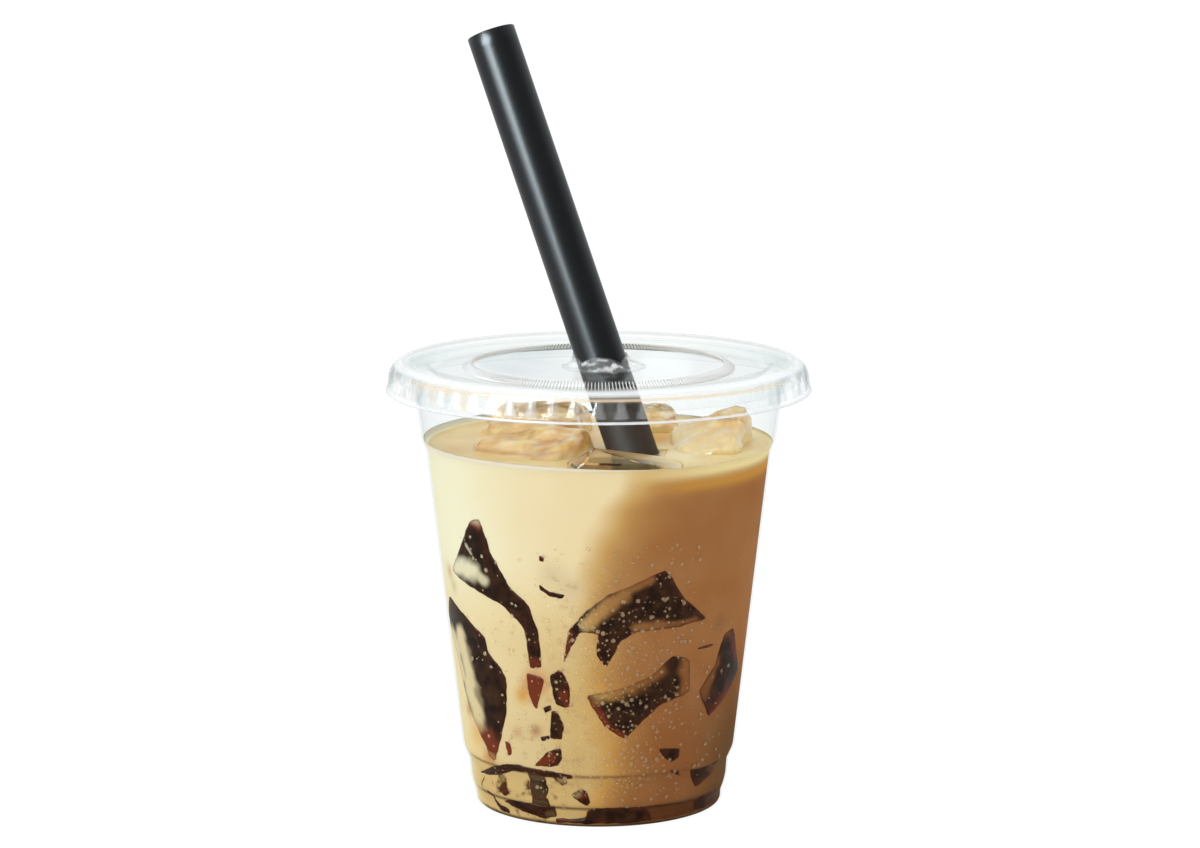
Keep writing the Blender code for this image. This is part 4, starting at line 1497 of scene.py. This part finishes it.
def makeMist():
    obj, flatness = mistPatch(), mist["flatness"]
    dome = [(math.cos(math.radians(a)), flatness * math.sin(math.radians(a))) for a in (0, 30, 60)]
    dome = [(0.0, -0.1), (0.96, -0.1)] + dome + [(0.0, flatness)]
    drop = addPiece("drop", *revolve(dome, mist["dropSides"]))
    values = {"Density": mist["perSquareMetre"], "Smallest": mist["smallest"], "Largest": mist["largest"]}
    applyNodes(obj, mistGroup(), {**values, "Seed": mist["seed"], "Drop": drop, "Material": waterMaterial()})
    bpy.data.objects.remove(drop)
    obj.data.shade_smooth()
    print("drops:", len(obj.data.polygons), "faces")
    settle(obj, "clear_ice")


makeMist()
print("condensation made")


# floor, light and camera

studio = {
    "floor": (0.75, 0.75, 0.75),
    "floorReach": 4000,
    "seenWhite": 1.05,
    "surround": 0.92,
    "mirrored": (0.8, 0.85, 0.86),
    "mirroredFront": 0.25,
    "lens": 126.8,
    "sensor": 36.0,
    "cameraPlace": (0.0003, -0.950, 0.2515),
    "cameraNod": 80.22,
}
# place, target, size, power, colour, whether it is mirrored and whether it lights matt surfaces
lights = {
    "keyLight": ((-0.6, -0.55, 0.35), (0, 0, 0.07), (0.5, 0.6), 1.3, (1, 1, 1), False, True),
    "fillLight": ((0.7, -0.4, 0.2), (0, 0, 0.07), (0.4, 0.5), 0.6, (1, 1, 1), False, True),
    "topLight": ((-0.15, 0.1, 0.8), (0, 0, 0.07), (0.6, 0.6), 1.4, (1, 1, 1), True, True),
    "stripLight": ((-0.56, -0.54, 0.47), (0, 0, 0.14), (0.52, 0.5), 32.0, (0.82, 0.95, 1), True, False),
}


def addLight(name, place, target, size, power, colour, mirrored, lit):
    light = bpy.data.lights.new(name, "AREA")
    light.shape = "RECTANGLE"
    light.size, light.size_y = size
    light.energy = power
    light.color = colour
    obj = bpy.data.objects.new(name, light)
    obj.location = place
    obj.rotation_euler = (Vector(target) - Vector(place)).to_track_quat("-Z", "Y").to_euler()
    obj.visible_glossy = mirrored
    obj.visible_diffuse = lit
    bpy.context.scene.collection.objects.link(obj)


def makeFloor():
    # white where it is seen, plain and pale for the light that it throws back
    reach = studio["floorReach"]
    corners = [(-reach, -reach, 0), (reach, -reach, 0), (reach, reach, 0), (-reach, reach, 0)]
    floor = addPiece("floor", corners, [(0, 1, 2, 3)])
    material, tree = newMaterial("paleFloor")
    path = tree.nodes.new("ShaderNodeLightPath")
    body = addNode(tree, "ShaderNodeBsdfDiffuse", {"Color": studio["floor"]})
    white = addNode(tree, "ShaderNodeEmission", {"Color": (1, 1, 1), "Strength": studio["seenWhite"]})
    finishMaterial(tree, mixShaders(tree, path.outputs["Is Camera Ray"], body.outputs[0], white.outputs[0]))
    wear(floor, material)


def backdrop(tree, colour, strength):
    return addNode(tree, "ShaderNodeBackground", {"Color": colour, "Strength": strength}).outputs[0]


def makeSurround():
    # white behind the cup, dimmer where it only lights it
    world = bpy.data.worlds.new("surround")
    bpy.context.scene.world = world
    world.use_nodes = True
    tree = world.node_tree
    tree.nodes.clear()
    path = tree.nodes.new("ShaderNodeLightPath")
    # what the glossy parts mirror is dimmer on the camera's side
    direction = tree.nodes.new("ShaderNodeTexCoord").outputs["Generated"]
    axes = addNode(tree, "ShaderNodeSeparateXYZ", {0: direction})
    level = rangeNode(tree, axes.outputs["Y"], -0.3, 0.3, 1.0, studio["mirroredFront"])
    dim = backdrop(tree, (1, 1, 1), studio["surround"])
    mirrored = backdrop(tree, studio["mirrored"], level)
    white = backdrop(tree, (1, 1, 1), studio["seenWhite"])
    lit = mixShaders(tree, path.outputs["Is Glossy Ray"], dim, mirrored)
    seen = mixShaders(tree, path.outputs["Is Camera Ray"], lit, white)
    addNode(tree, "ShaderNodeOutputWorld", {0: seen})


def makeCamera():
    camera = bpy.data.cameras.new("camera")
    camera.lens = studio["lens"]
    camera.sensor_width = studio["sensor"]
    obj = bpy.data.objects.new("camera", camera)
    obj.location = studio["cameraPlace"]
    obj.rotation_euler = (math.radians(studio["cameraNod"]), 0, 0)
    bpy.context.scene.collection.objects.link(obj)
    bpy.context.scene.camera = obj


makeFloor()
makeSurround()
makeCamera()
for lightName, lightValues in lights.items():
    addLight(lightName, *lightValues)
bpy.context.scene.view_settings.view_transform = "Standard"
print("studio ready")
for material in list(bpy.data.materials):
    if not material.users:
        bpy.data.materials.remove(material)
